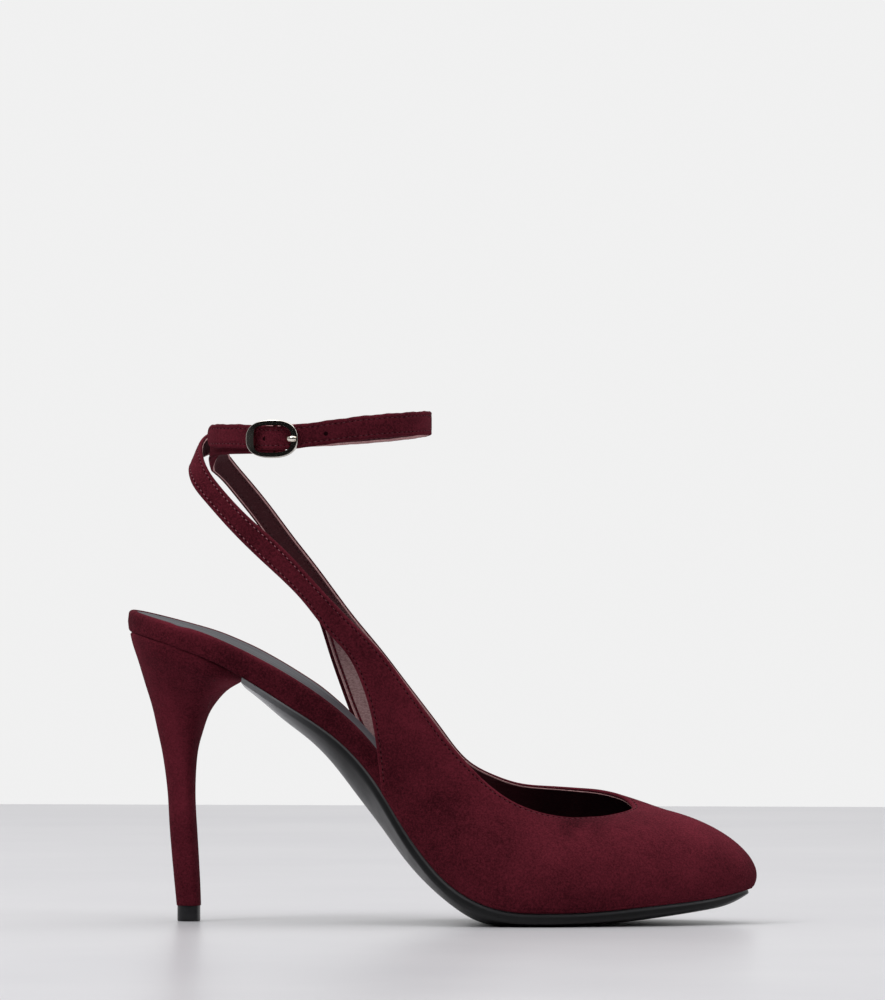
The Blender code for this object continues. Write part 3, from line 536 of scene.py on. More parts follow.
VAMP_LATERAL = (
    VampRib(100.0, 121.0, -27.2, 51.8, 3.0, 0.3, 1.6, 1.2),
    VampRib(112.0, 128.0, -26.6, 45.6, 5.0, 0.6, 1.8, 2.6),
    VampRib(124.0, 134.6, -25.8, 41.5, 6.6, 0.8, 1.9, 4.0),
    VampRib(137.0, 142.0, -24.2, 38.6, 7.6, 1.0, 2.2, 5.0),
    VampRib(152.0, 149.5, -21.6, 37.0, 8.0, 1.0, 3.0, 6.0),
    VampRib(168.0, 156.5, -17.8, 36.6, 8.8, 1.0, 4.0, 7.0),
    VampRib(183.0, 162.5, -12.5, 36.9, 10.6, 1.0, 5.4, 7.8),
    VampRib(196.0, 167.3, -6.2, 37.7, 14.0, 0.9, 7.6, 8.4),
    VampRib(205.5, 170.2, -0.6, 38.6, 19.4, 0.8, 10.2, 9.0),
)
VAMP_TIP = VampRib(FEATHER_TIP, 171.0, 3.4, 39.4, 22.3, 0.7, 11.3, 9.2)
VAMP_MEDIAL = (
    VampRib(205.5, 170.3, 7.0, 40.4, 19.8, 0.8, 10.6, 9.0),
    VampRib(198.0, 168.2, 10.6, 42.2, 15.0, 0.9, 8.6, 8.6),
    VampRib(187.0, 164.2, 14.4, 43.8, 11.4, 1.0, 6.0, 8.0),
    VampRib(173.0, 158.0, 18.4, 45.0, 9.2, 1.0, 4.2, 7.2),
    VampRib(158.0, 150.0, 21.3, 45.6, 8.2, 1.0, 3.2, 6.2),
    VampRib(143.0, 141.0, 23.6, 46.1, 7.6, 1.0, 2.6, 5.2),
    VampRib(128.0, 131.0, 25.0, 46.9, 6.8, 0.8, 2.2, 4.2),
    VampRib(114.0, 122.0, 25.7, 49.6, 5.2, 0.6, 2.0, 2.8),
    VampRib(101.0, 112.8, 26.1, 54.5, 3.4, 0.3, 1.6, 1.4),
    VampRib(88.0, 103.1, 26.4, 65.8, 1.8, 0.1, 1.0, 0.5),
)
MEDIAL_STRAP = (
    StrapRib((73.2, 22.6, 67.9), (88.8, 26.6, 84.3)),
    StrapRib((68.2, 24.6, 80.6), (81.6, 26.7, 93.6)),
    StrapRib((64.3, 25.6, 91.5), (74.6, 26.7, 102.0)),
    StrapRib((60.0, 25.9, 104.0), (68.0, 26.6, 110.6)),
    StrapRib((53.5, 25.6, 115.3), (60.2, 26.0, 121.2)),
    StrapRib((46.0, 24.8, 126.3), (52.5, 25.3, 131.1)),
    StrapRib((38.2, 22.9, 137.4), (44.2, 24.0, 142.2)),
    StrapRib((31.6, 19.2, 146.2), (37.6, 20.8, 150.7)),
    StrapRib((27.4, 14.6, 151.6), (33.4, 16.6, 156.2)),
    StrapRib((25.2, 12.3, 153.7), (31.6, 14.4, 158.8)),
)
UPPER_SHARES = (30, 52, 24)
COLUMNS_PER_SHARE = 4
UPPER_COLUMNS = COLUMNS_PER_SHARE * sum(UPPER_SHARES)
FEATHER_STEPS = 200
TOE_PULL = 0.6
HEEL_PULL = -0.3
HEEL_PULL_BEFORE = 40.0


def feather_side(corner, side):
    """The feather line from a rear corner of the vamp to the tip of the toe."""
    turn = np.linspace(0.0, math.pi / 2, FEATHER_STEPS)
    x = corner.feather_x + (FEATHER_TIP - corner.feather_x) * np.sin(turn)
    return on_last(x, feather_middle(x) + side * half_width(x), GAP + 0.0 * x)


def run_along(points):
    """How far along a line of points each of them is."""
    return np.concatenate(([0.0], np.cumsum(np.linalg.norm(np.diff(points, axis=0), axis=1))))


def upper_ribs():
    """The ribs of the upper from its lower edge to the topline, as the four control points of a curve,
    from the lateral strap's end round the toe to the medial strap's end."""
    lateral_line = feather_side(LATERAL_CORNER, -1)
    medial_line = feather_side(MEDIAL_CORNER, 1)[::-1]
    feather = np.concatenate((lateral_line, medial_line[1:]))
    run = run_along(feather)
    tip = len(lateral_line) - 1

    def feather_at(place):
        return np.array([np.interp(place, run, feather[:, axis]) for axis in range(3)])

    lateral = [LATERAL_CORNER, *VAMP_LATERAL, VAMP_TIP]
    medial = [*VAMP_MEDIAL, MEDIAL_CORNER]
    vamp = lateral + medial
    runs = [np.interp(rib.feather_x, feather[: tip + 1, 0], run[: tip + 1]) for rib in lateral]
    runs += [np.interp(-rib.feather_x, -feather[tip:, 0], run[tip:]) for rib in medial]
    lower = [rib.lower for rib in LATERAL_STRAP]
    lower += [tuple(feather_at(place)) for place in runs]
    lower += [rib.lower for rib in MEDIAL_STRAP]
    upper = [rib.upper for rib in LATERAL_STRAP]
    upper += [(rib.top_x, rib.top_y, rib.top_z) for rib in vamp]
    upper += [rib.upper for rib in MEDIAL_STRAP]
    fills = [STRAP_FILL] * len(LATERAL_STRAP)
    fills += [(rib.belly_out, rib.belly_up, rib.brow_out, rib.brow_up) for rib in vamp]
    fills += [STRAP_FILL] * len(MEDIAL_STRAP)
    lower, upper = np.array(lower), np.array(upper)
    knots = run_along(lower) + run_along(upper)
    first = len(LATERAL_STRAP)
    last = first + len(vamp) - 1
    bounds = (knots[0], knots[first], knots[last], knots[-1])
    lateral_lower = natural(knots[: first + 1], lower[: first + 1])
    medial_lower = natural(knots[last:], lower[last:])
    vamp_run = through(knots[first : last + 1], runs)
    topline = natural(knots, upper)
    filling = [through(knots, values) for values in zip(*fills)]
    ribs = []
    for column in range(UPPER_COLUMNS + 1):
        place = column * sum(UPPER_SHARES) / UPPER_COLUMNS
        region = 0
        while region < 2 and place > UPPER_SHARES[region]:
            place -= UPPER_SHARES[region]
            region += 1
        knot = bounds[region] + (bounds[region + 1] - bounds[region]) * place / UPPER_SHARES[region]
        if region == 1:
            low = feather_at(vamp_run(knot))
            out = np.array((max(0.0, low[0] - BALL_AT) * TOE_PULL, low[1] - feather_middle(low[0]), 0.0))
        else:
            low = (lateral_lower if region == 0 else medial_lower)(knot)
            out = np.array((HEEL_PULL if low[0] < HEEL_PULL_BEFORE else 0.0, low[1], 0.0))
        out /= max(np.linalg.norm(out), 1e-6)
        top = topline(knot)
        belly_out, belly_up, brow_out, brow_up = (float(fill(knot)) for fill in filling)
        up = np.array((0.0, 0.0, 1.0))
        lower_third = low + (top - low) / 3 + belly_out * out + belly_up * up
        upper_third = low + (top - low) * 2 / 3 + brow_out * out + brow_up * up
        ribs.append((low, lower_third, upper_third, top))
    return np.array(ribs)


ribs = upper_ribs()
rib_lengths = np.linalg.norm(np.diff(ribs, axis=1), axis=2).sum(axis=1)
columns = np.arange(UPPER_COLUMNS + 1)
first_vamp_column = COLUMNS_PER_SHARE * UPPER_SHARES[0]
last_vamp_column = first_vamp_column + COLUMNS_PER_SHARE * UPPER_SHARES[1]


def on_upper(from_top, from_lower, share, depth):
    """Points of the upper for every rib and every entry of the profile: share of the way between the
    places from_lower millimetres above the lower edge and from_top millimetres below the topline,
    depth inside the outer face. from_lower and depth may differ from rib to rib. Also gives the outward
    normals."""
    length = rib_lengths[:, None]
    low, top = np.atleast_2d(from_lower) / length, 1 - from_top[None, :] / length
    v = (low + (top - low) * share[None, :])[..., None]
    w = 1 - v
    a, b, c, d = (ribs[:, None, index, :] for index in range(4))
    points = w**3 * a + 3 * w**2 * v * b + 3 * w * v**2 * c + v**3 * d
    rising = 3 * w**2 * (b - a) + 6 * w * v * (c - b) + 3 * v**2 * (d - c)
    normals = np.cross(np.gradient(points, axis=0), rising)
    normals /= np.linalg.norm(normals, axis=2, keepdims=True)
    lift = strokes(points, CREASES) - np.atleast_2d(depth)
    return points + normals * lift[..., None], normals


Profile = namedtuple("Profile", "from_top from_lower share depth")


def profile_rows():
    """The section of the folded suede all round its wall, from the lower edge up the outer face, over the
    fold and down the inside."""
    pulled = STITCH_TROUGH * trough(EDGE_STEPS - STITCH_FROM_EDGE, STITCH_PULL)
    edge, behind = EDGE_STEPS[-1], FOLD_DEPTH + 0.1
    rows = [Profile(0.0, e, 0.0, depth) for e, depth in zip(EDGE_STEPS, pulled)]
    rows += [Profile(edge, edge, s, 0.0) for s in np.linspace(0.0, 1.0, FACE_ROWS)[1:-1]]
    rows += [Profile(t, 0.0, 1.0, depth) for t, depth in zip(EDGE_STEPS[::-1], pulled[::-1])]
    rows += [
        Profile(FOLD_RADIUS * (1 - math.sin(a)), 0.0, 1.0, FOLD_RADIUS * (1 - math.cos(a)))
        for a in FOLD_TURNS[1:]
    ]
    rows += [Profile(FOLD_DEPTH, 0.0, 1.0, WALL)]
    rows += [Profile(behind, behind, s, SUEDE_WALL) for s in np.linspace(1.0, 0.0, BACK_ROWS)]
    rows += [Profile(0.0, e, 0.0, WALL) for e in (FOLD_DEPTH, FOLD_RADIUS)]
    rows += [
        Profile(0.0, FOLD_RADIUS * (1 - math.sin(a)), 0.0, FOLD_RADIUS * (1 + math.cos(a)))
        for a in FOLD_TURNS[1:]
    ]
    return [np.array(column) for column in zip(*rows)]


def fold_tone(from_top, from_lower, share, depth):
    """How much lighter the nap is drawn along the folds, and how much darker, as painted shade, where it
    is tucked in behind them. The lower edge of the vamp has no fold."""
    on_strap = (columns < first_vamp_column) | (columns > last_vamp_column)
    lighter_top = np.where(share == 1.0, trough(from_top, FOLD_TONE_REACH), 0.0)
    lighter_lower = np.where(share == 0.0, trough(from_lower, FOLD_TONE_REACH), 0.0)
    lightening = lighter_top[None, :] + lighter_lower[None, :] * on_strap[:, None]
    return np.where(depth[None, :] > TUCKED_FROM, TUCKED_SHADE, FOLD_TONE * lightening)


upper_profile = profile_rows()
suede_points, _ = on_upper(*upper_profile)
# The upper's tone: its nap and painted light and shade, painted shading in the creases, and painted shade
# inside the folds.
upper_nap_and_shading = strokes(suede_points, UPPER_NAP_AND_PAINTED_SHADING) + CREASE_PAINTED_SHADING * strokes(suede_points, CREASES)
upper_nap_and_shading += fold_tone(*upper_profile)
piece("upper_suede", skin(suede_points, painted_shading_and_nap=upper_nap_and_shading), [suede], "suede", "upper")

# The lining: thin leather glued inside the folded edge, mauve-brown with a fine grain inside the sides
# and dark higher up the straps, partly a darker leather and partly painted shade, and painted dark as
# shade forward inside the vamp. It has a pale raw edge where it was cut and, in the sides, a strip of
# dark suede painted as the shade of a groove where it is sewn down. Below the vamp it is drawn in
# against the insole.
LINING_FROM_EDGE = 0.45
LASTED_DRAW = 1.1
QUARTER_FROM_EDGE = 1.3
QUARTER_BELOW = 112.0
SEAM_GROOVE = (0.85, 1.75)
LINING_DEPTHS = (SUEDE_WALL + 0.03, WALL + 0.08)
RAW_EDGE = 0.5
LINING_BACK_ROWS = 10
LINING_FACE_ROWS = 26
CUT_ROUND = 0.03
QUARTER_FADE = 10.0
LASTED_FADE = 3
QUARTER_TONE = 0.72
QUARTER_HEIGHTS = (0.112, 0.085)
QUARTER_LENGTHS = (0.002, -0.014)
STRAP_GRAIN = 0.5
LINING_RIPPLES = (0.6, 1.0, 1.5)


def place_along(finish, axis):
    """How far along an axis of the frame each point is, in metres."""
    place = finish.node_tree.nodes.new("ShaderNodeTexCoord")
    axes = finish.node_tree.nodes.new("ShaderNodeSeparateXYZ")
    finish.node_tree.links.new(place.outputs["Object"], axes.inputs["Vector"])
    return axes.outputs[axis]


lining_leather = plain_finish("lining_leather", (0.17, 0.09, 0.1), 0.45, Specular_IOR_Level=0.17)
lining_grain = noise(lining_leather, 1700.0, 3.0, 0.75, LINING_RIPPLES)
# Painted shade: the lining darkens from the quarter up the straps and forward into the vamp; up the straps
# it is partly its own darker leather.
down_the_side = spread(
    lining_leather, place_along(lining_leather, "Z"), *QUARTER_HEIGHTS, 0.0, QUARTER_TONE
)
behind_the_vamp = spread(lining_leather, place_along(lining_leather, "X"), *QUARTER_LENGTHS)
inside_quarter = combined(lining_leather, down_the_side, behind_the_vamp, "MULTIPLY")
grain_tone = spread(lining_leather, lining_grain, 0.38, 0.62, -0.24, 0.2)
grain_shows = spread(lining_leather, inside_quarter, 0.0, QUARTER_TONE, STRAP_GRAIN, 1.0)
seen_grain = combined(lining_leather, grain_tone, grain_shows, "MULTIPLY")
lining_tone = combined(lining_leather, inside_quarter, seen_grain)
colours(lining_leather, lining_tone, (0.05, (0.056, 0.0098, 0.0142)), (0.95, (0.43, 0.27, 0.27)))
relief(lining_leather, lining_grain, 0.00025)
raw_edge = plain_finish("lining_raw_edge", (0.5, 0.28, 0.28), 0.8, Specular_IOR_Level=0.1)
colours(
    raw_edge, spread(raw_edge, noise(raw_edge, 2500.0, 3.0), 0.3, 0.7),
    (0.0, (0.4, 0.2, 0.205)), (1.0, (0.66, 0.4, 0.39)),
)


def lining_rows():
    """The section of the lining, from its lower edge up its back and down its face."""
    back, face = LINING_DEPTHS
    edge = LINING_FROM_EDGE
    inside = (back + face) / 2
    rows = [Profile(edge, 0.0, s, back) for s in np.linspace(0.0, 1.0, LINING_BACK_ROWS)]
    rows += [Profile(edge - CUT_ROUND, 0.0, 1.0, inside), Profile(edge, 0.0, 1.0, face)]
    rows += [
        Profile(edge + RAW_EDGE, SEAM_GROOVE[1], s, face) for s in np.linspace(1.0, 0.0, LINING_FACE_ROWS)
    ]
    rows += [Profile(0.0, e, 0.0, face) for e in (SEAM_GROOVE[0], 0.6 * RAW_EDGE, 0.0)]
    rows += [Profile(0.0, -CUT_ROUND, 0.0, inside), rows[0]]
    return [np.array(column) for column in zip(*rows)]


medial_side = columns > last_vamp_column
in_quarter = np.clip((QUARTER_BELOW - ribs[:, 0, 2]) / QUARTER_FADE, 0.0, 1.0) * medial_side
from_corner = np.minimum(columns - first_vamp_column, last_vamp_column - columns)
lasted = np.clip(from_corner / LASTED_FADE, 0.0, 1.0)
lining_edge = LINING_FROM_EDGE + (QUARTER_FROM_EDGE - LINING_FROM_EDGE) * in_quarter
from_top, from_lower, share, depth = lining_rows()
drawn_in = LASTED_DRAW * np.clip(1 - from_lower / SEAM_GROOVE[1], 0.0, 1.0) * (share == 0.0)
lining_depth = depth + lasted[:, None] * drawn_in
lining_points, _ = on_upper(from_top, from_lower + lining_edge[:, None], share, lining_depth)
lining_slots = np.zeros((len(lining_points) - 1, len(share) - 1), int)
lining_slots[:, LINING_BACK_ROWS - 1 : LINING_BACK_ROWS + 2] = 1
lining_slots[lasted[:-1] == 0.0, -3:] = 1
# A strip of the dark suede painted as the shade of the groove where the lining is sewn down.
lining_slots[in_quarter[:-1] > 0, -5] = 2
piece("lining", skin(lining_points, lining_slots), [lining_leather, raw_edge, suede], "suede")

# The stitches: one row of lockstitch along each folded edge, through suede and lining. The thread is a
# shade lighter than the suede on the straps and darker along the vamp.
STITCH_PITCH = 1.95
STITCH_SIZE = (0.44, 0.18, 0.17)
STITCH_REACH = 0.4
NEEDLE_HOLE_SIZE = (0.46, 0.38, 0.13)
LINING_HOLE_SIZE = (0.24, 0.2, 0.08)
HOLE_SINK = 0.02
SEWN_AT_ONCE = 30
INSIDE_ROW = 1.75
VAMP_THREAD = (0.07, 0.014, 0.02)
SIDE_THREAD = (0.1, 0.022, 0.03)
SLING_THREAD = (0.3, 0.125, 0.145)
ANKLE_THREAD = (0.085, 0.018, 0.026)
thread = plain_finish("thread", (0.2, 0.08, 0.09), 0.7, Specular_IOR_Level=0.3)
thread_up = spread(thread, place_along(thread, "Z"), 0.075, 0.175)
thread_twist = spread(thread, noise(thread, 2600.0, 2.0), 0.3, 0.7, -0.06, 0.06)
colours(
    thread, combined(thread, thread_up, thread_twist),
    (0.05, VAMP_THREAD), (0.86, ANKLE_THREAD), (0.3, SIDE_THREAD), (0.5, SLING_THREAD), (0.72, SLING_THREAD),
)
lining_thread = plain_finish("lining_thread", (0.04, 0.012, 0.014), 0.7, Specular_IOR_Level=0.3)
colours(
    lining_thread, noise(lining_thread, 2600.0, 2.0),
    (0.3, (0.032, 0.009, 0.011)), (0.7, (0.06, 0.017, 0.021)),
)
# The needle holes: small dark lozenges painted as the shade inside each hole.
needle_hole_shade = plain_finish("needle_hole_shade", (0.012, 0.003, 0.004), 1.0, Specular_IOR_Level=0.0)
colours(
    needle_hole_shade, noise(needle_hole_shade, 3000.0, 2.0),
    (0.3, (0.008, 0.002, 0.003)), (0.7, (0.02, 0.004, 0.006)),
)


def one_stitch(bm, place, along, up, size, finish):
    """A stitch, or a needle hole painted as a dark patch of shade: a small lozenge lying along its row."""
    beside = up.cross(along).normalized()
    turned = Matrix((along, beside, up)).transposed().to_4x4()
    sized = Matrix.Diagonal((*(side * MM for side in size), 1.0))
    placed = Matrix.Translation(in_frame(place)) @ turned @ sized
    made = bmesh.ops.create_uvsphere(bm, u_segments=6, v_segments=4, radius=1.0, matrix=placed)
    for face in {face for vert in made["verts"] for face in vert.link_faces}:
        face.material_index = finish


def join(bm, added):
    """Joins one mesh to another."""
    mesh = bpy.data.meshes.new("joined")
    added.to_mesh(mesh)
    added.free()
    bm.from_mesh(mesh)
    bpy.data.meshes.remove(mesh)


def sew(sewn, line, normals, hole_size=NEEDLE_HOLE_SIZE):
    """Lays stitches along a line of points on a surface, with a needle hole after each, in short lengths
    that are joined to what is sewn already."""
    run = run_along(line)
    starts = np.arange(STITCH_PITCH / 2, run[-1] - STITCH_PITCH / 2, STITCH_PITCH)

    def at(rows, place):
        return Vector([np.interp(place, run, rows[:, axis]) for axis in range(3)])

    for first in range(0, len(starts), SEWN_AT_ONCE):
        length = bmesh.new()
        for start in starts[first : first + SEWN_AT_ONCE]:
            for place, size, sink, finish in (
                (start, STITCH_SIZE, 0.0, 0),
                (start + STITCH_PITCH / 2, hole_size, HOLE_SINK, 1),
            ):
                back, ahead = at(line, place - STITCH_REACH), at(line, place + STITCH_REACH)
                up = at(normals, place).normalized()
                middle = (back + ahead) / 2 - up * sink
                one_stitch(length, middle, (ahead - back).normalized(), up, size, finish)
        join(sewn, length)


def upper_row(from_top, from_lower, share, depth, part):
    """A line along the upper at one place of its section."""
    from_top, share, depth = (np.array((value,)) for value in (from_top, share, depth))
    line, normals = on_upper(from_top, np.reshape(from_lower, (-1, 1)), share, depth)
    return line[part, 0], normals[part, 0]


stitches = bmesh.new()
every_column = slice(2, UPPER_COLUMNS - 1)
lateral_columns = slice(2, first_vamp_column)
medial_columns = slice(last_vamp_column + 1, UPPER_COLUMNS - 1)
sew(stitches, *upper_row(STITCH_FROM_EDGE, 0.0, 1.0, STITCH_TROUGH, every_column))
for side in (lateral_columns, medial_columns):
    sew(stitches, *upper_row(0.0, STITCH_FROM_EDGE, 0.0, STITCH_TROUGH, side))
piece("upper_stitches", stitches, [thread, needle_hole_shade], "suede")
groove_row = lining_edge + sum(SEAM_GROOVE) / 2
inside_stitches = bmesh.new()
for place in ((INSIDE_ROW, 0.0, 1.0), (0.0, groove_row, 0.0)):
    for side in (lateral_columns, medial_columns):
        line, normals = upper_row(*place, LINING_DEPTHS[1], side)
        sew(inside_stitches, line, -normals, LINING_HOLE_SIZE)
piece("inside_stitches", inside_stitches, [lining_thread, needle_hole_shade], "suede")

# The outsole: black leather from the heel breast to the toe, thin at its edge and rounded like a keel
# under the waist, flat under the ball of the foot. It is polished, so it mirrors the floor softly, and a
# grey highlight is painted along its upper edge and where it ends at the breast.
BREAST_AT = 39.4
SOLE_BELLY = 2.2
FULL_INSET_FROM = 6.0
SOLE_LAP = GAP + 0.05
# Painted highlight on the outsole: grey at the breast, fading forward, and along its upper edge.
PAINTED_BREAST_HIGHLIGHT = 1.0
PAINTED_HIGHLIGHT_LENGTH = 17.0
PAINTED_EDGE_HIGHLIGHT = 0.5
PAINTED_EDGE_ABOVE = 0.7
SOLE_STATIONS = 170
SOLE_UNDER_POINTS = 49
SOLE_EASE = 0.55
SOLE_CORNER = 0.985
TOE_CLEAR = 0.05
Sole = namedtuple("Sole", "x floor edge inset flat")
SOLE = (
    Sole(39.0, 80.2, 1.3, 2.6, 0.0),
    Sole(45.0, 75.4, 1.5, 2.6, 0.0),
    Sole(53.3, 68.3, 1.6, 2.6, 0.0),
    Sole(61.5, 62.0, 1.7, 2.6, 0.0),
    Sole(69.8, 53.7, 1.8, 2.6, 0.0),
    Sole(78.0, 43.1, 1.9, 2.6, 0.0),
    Sole(86.4, 32.2, 2.0, 2.4, 0.0),
    Sole(94.9, 21.1, 2.2, 1.8, 0.05),
    Sole(103.5, 12.4, 2.4, 1.2, 0.15),
    Sole(112.3, 5.9, 2.6, 1.0, 0.35),
    Sole(120.0, 1.7, 2.9, 1.0, 0.5),
    Sole(127.0, 0.0, 3.1, 1.0, 0.6),
    Sole(148.0, 0.0, 3.1, 1.0, 0.6),
    Sole(164.0, 0.65, 3.0, 1.0, 0.6),
    Sole(178.5, 2.1, 2.9, 1.0, 0.55),
    Sole(196.5, 4.8, 2.4, 1.0, 0.5),
    Sole(205.0, 7.0, 1.7, 1.0, 0.45),
    Sole(209.5, 9.5, 0.8, 1.1, 0.4),
    Sole(211.5, 10.9, 0.3, 1.2, 0.4),
)
sole_keel = along_x(SOLE, "floor", natural)
sole_edge = along_x(SOLE, "edge", natural)
sole_inset = along_x(SOLE, "inset", natural)
sole_flat = along_x(SOLE, "flat")
sole_leather = plain_finish(
    "outsole_leather", (0.006, 0.006, 0.0065), 0.4,
    Specular_IOR_Level=0.22, Coat_Weight=0.1, Coat_Roughness=0.2,
)
# A grey highlight is painted where the attribute is set, along the upper edge and at the breast, and there
# the leather is made smoother.
sole_painted_highlight = read_painted_shading_and_nap(sole_leather)
sole_clouds = spread(sole_leather, noise(sole_leather, 70.0, 4.0), 0.3, 0.7, 0.0, 0.04)
colours(
    sole_leather, combined(sole_leather, sole_clouds, sole_painted_highlight),
    (0.0, (0.006, 0.0062, 0.0066)), (1.0, (0.17, 0.172, 0.178)),
)
sole_shine = spread(sole_leather, noise(sole_leather, 160.0, 5.0, 0.6), 0.3, 0.7, 0.36, 0.46)
sole_burnished = spread(sole_leather, sole_painted_highlight, 0.0, 1.0, 0.0, -0.22)
wire(sole_leather, combined(sole_leather, sole_shine, sole_burnished), "Roughness")
relief(sole_leather, noise(sole_leather, 420.0, 4.0, 0.6), 0.00003)


def sole_points():
    """The sections of the outsole from the breast to the toe, and how much painted highlight each point has.
    """
    share = np.linspace(0.0, 1.0, SOLE_STATIONS)
    eased = (1 - SOLE_EASE) * share + SOLE_EASE * (1 - np.cos(math.pi * share)) / 2
    station = BREAST_AT + (FEATHER_TIP - TOE_CLEAR - BREAST_AT) * eased
    inset = sole_inset(station)
    middle = (FEATHER_BACK + FEATHER_TIP) / 2
    shrink = 1 - 2 * inset / (FEATHER_TIP - FEATHER_BACK)
    half = half_width(station)
    half = half - inset * np.minimum(1.0, half / FULL_INSET_FROM)
    x = np.maximum(middle + (station - middle) * shrink, BREAST_AT)
    under = [(across, 0.0) for across in np.linspace(-SOLE_CORNER, SOLE_CORNER, SOLE_UNDER_POINTS)]
    side = [(1.0, 0.12), (1.0, 0.3), (1.0, 0.6), (1.0, 0.85), (SOLE_CORNER, 1.0)]
    section = under + side + [(0.5, 1.0), (0.0, 1.0), (-0.5, 1.0)]
    section += [(-across, level) for across, level in side[::-1]] + under[:1]
    breast_highlight = PAINTED_BREAST_HIGHLIGHT * trough(x - BREAST_AT, PAINTED_HIGHLIGHT_LENGTH)
    rows, lightening = [], []
    for across, level in section:
        lightening.append(breast_highlight + PAINTED_EDGE_HIGHLIGHT * (level > PAINTED_EDGE_ABOVE))
        y = feather_middle(x) + across * half
        top = on_last(x, y, SOLE_LAP + 0.0 * x)
        edge = on_last(x, y, -sole_edge(x))
        if level == 0.0:
            away = np.clip((abs(across) - sole_flat(x)) / (1 - sole_flat(x)), 0.0, 1.0)
            rise = (away**SOLE_BELLY)[:, None]
            keel = np.stack((x, y, np.maximum(sole_keel(x), 0.0)), axis=-1)
            rows.append(edge * rise + keel * (1 - rise))
        else:
            rows.append(edge + (top - edge) * level)
    return np.stack(rows, axis=1), np.stack(lightening, axis=1)


sole, sole_highlight = sole_points()
piece("outsole_leather", skin(sole, painted_shading_and_nap=sole_highlight), [sole_leather], "outsole_leather", "outsole")

# The heel: a slim moulded core covered in one piece of suede, drawn round it from the back and closed
# on the breast, with its edge turned in under the seat.
TIP_HEIGHT = 5.1
TIP_INSET = 0.25
SEAT_EDGE = 0.6
SEAT_LAP = np.array((0.0, 0.0, 2 * GAP + 0.15))
TIP_LAP = GAP + 0.2
BREAST_SQUARENESS = 0.45
HEEL_SIDE_FULLNESS = 0.85
# Painted light and shade on the heel's suede, partly the tone of its nap: a lighter band down the middle
# where light falls, and darker patches under the seat and low on the breast side.
HEEL_NAP_AND_PAINTED_SHADING = (
    Stroke(0, 16.5, 60.0, 12.0, 97.0, 4.0, 0.46),
    Stroke(0, 18.5, 42.0, 10.0, 92.0, 4.0, 0.42),
    Stroke(0, 36.0, 81.0, 7.0, 32.0, 2.6, 0.5),
    Stroke(0, 28.0, 70.0, 9.0, 62.0, 2.4, 0.44),
    Stroke(0, 3.5, 93.0, 8.0, -72.0, 2.0, 0.3),
    Stroke(0, 15.0, 77.0, 5.0, 90.0, 4.0, 0.1),
    Stroke(0, 12.0, 89.5, 5.0, 0.0, 3.0, -0.1),
    Stroke(0, 29.0, 83.5, 4.5, 10.0, 3.2, -0.2),
    Stroke(0, 24.5, 26.0, 9.0, 92.0, 1.6, -0.16),
    Stroke(0, 20.0, 22.0, 6.0, 90.0, 2.0, 0.1),
    Stroke(0, 25.0, 11.0, 8.0, 90.0, 1.6, -0.14),
)
HEEL_COLUMNS = 96
HEEL_ROWS = 110
SEAT_SOFTNESS = 0.2
SEAT_SOFT_AT = 0.25
HeelCut = namedtuple("HeelCut", "back_x back_z breast_x breast_z half_width")
HEEL = (
    HeelCut(-0.2, 97.6, 38.6, 83.6, 23.4),
    HeelCut(0.7, 94.4, 37.3, 81.7, 22.6),
    HeelCut(2.4, 89.1, 32.8, 79.0, 19.2),
    HeelCut(4.8, 80.9, 28.6, 74.6, 14.6),
    HeelCut(7.2, 72.8, 25.8, 69.8, 11.2),
    HeelCut(9.0, 64.6, 23.8, 63.6, 8.9),
    HeelCut(10.7, 56.4, 22.2, 56.4, 7.4),
    HeelCut(12.3, 44.0, 21.6, 44.0, 6.0),
    HeelCut(13.0, 32.0, 22.2, 32.0, 5.2),
    HeelCut(14.4, 15.6, 23.2, 15.6, 4.5),
    HeelCut(15.4, TIP_HEIGHT + GAP, 23.6, TIP_HEIGHT + GAP, 4.2),
)


def heel_cut(row, share, inset=0.0):
    """A point of a heel section a share of the way round it: round at the back, flat at the breast."""
    turn = 2 * math.pi * share
    along, side = -math.cos(turn), math.sin(turn)
    if along > 0:
        along = along**BREAST_SQUARENESS
    x = (row.back_x + row.breast_x) / 2 + along * ((row.breast_x - row.back_x) / 2 - inset)
    y = math.copysign(abs(side) ** HEEL_SIDE_FULLNESS, side) * (row.half_width - inset)
    level = (x - row.back_x) / (row.breast_x - row.back_x)
    z = row.back_z + (row.breast_z - row.back_z) * level
    if row is HEEL[0]:
        z = float(feather_height(x)) - GAP
    return np.array((x, y, z))


def heel_column(share):
    """The points from the turned-in edge under the seat down to the foot of the heel."""
    cuts = [heel_cut(row, share) for row in HEEL]
    curve = natural(range(len(cuts)), cuts)
    places = np.linspace(0.0, len(cuts) - 1, HEEL_ROWS)
    column = [curve(place) for place in places]
    turned_in = heel_cut(HEEL[0], share, SEAT_EDGE) + SEAT_LAP
    column[0] = column[0] * (1 - SEAT_SOFTNESS) + curve(SEAT_SOFT_AT) * SEAT_SOFTNESS
    foot = heel_cut(HEEL[-1], share, TIP_INSET)
    return [turned_in] + column + [foot]


heel_points = np.array([heel_column(share) for share in np.linspace(0.0, 1.0, HEEL_COLUMNS + 1)])
heel_shading_and_nap = strokes(heel_points, HEEL_NAP_AND_PAINTED_SHADING)
piece("heel_cover", skin(heel_points, painted_shading_and_nap=heel_shading_and_nap), [suede], "suede", "heel")

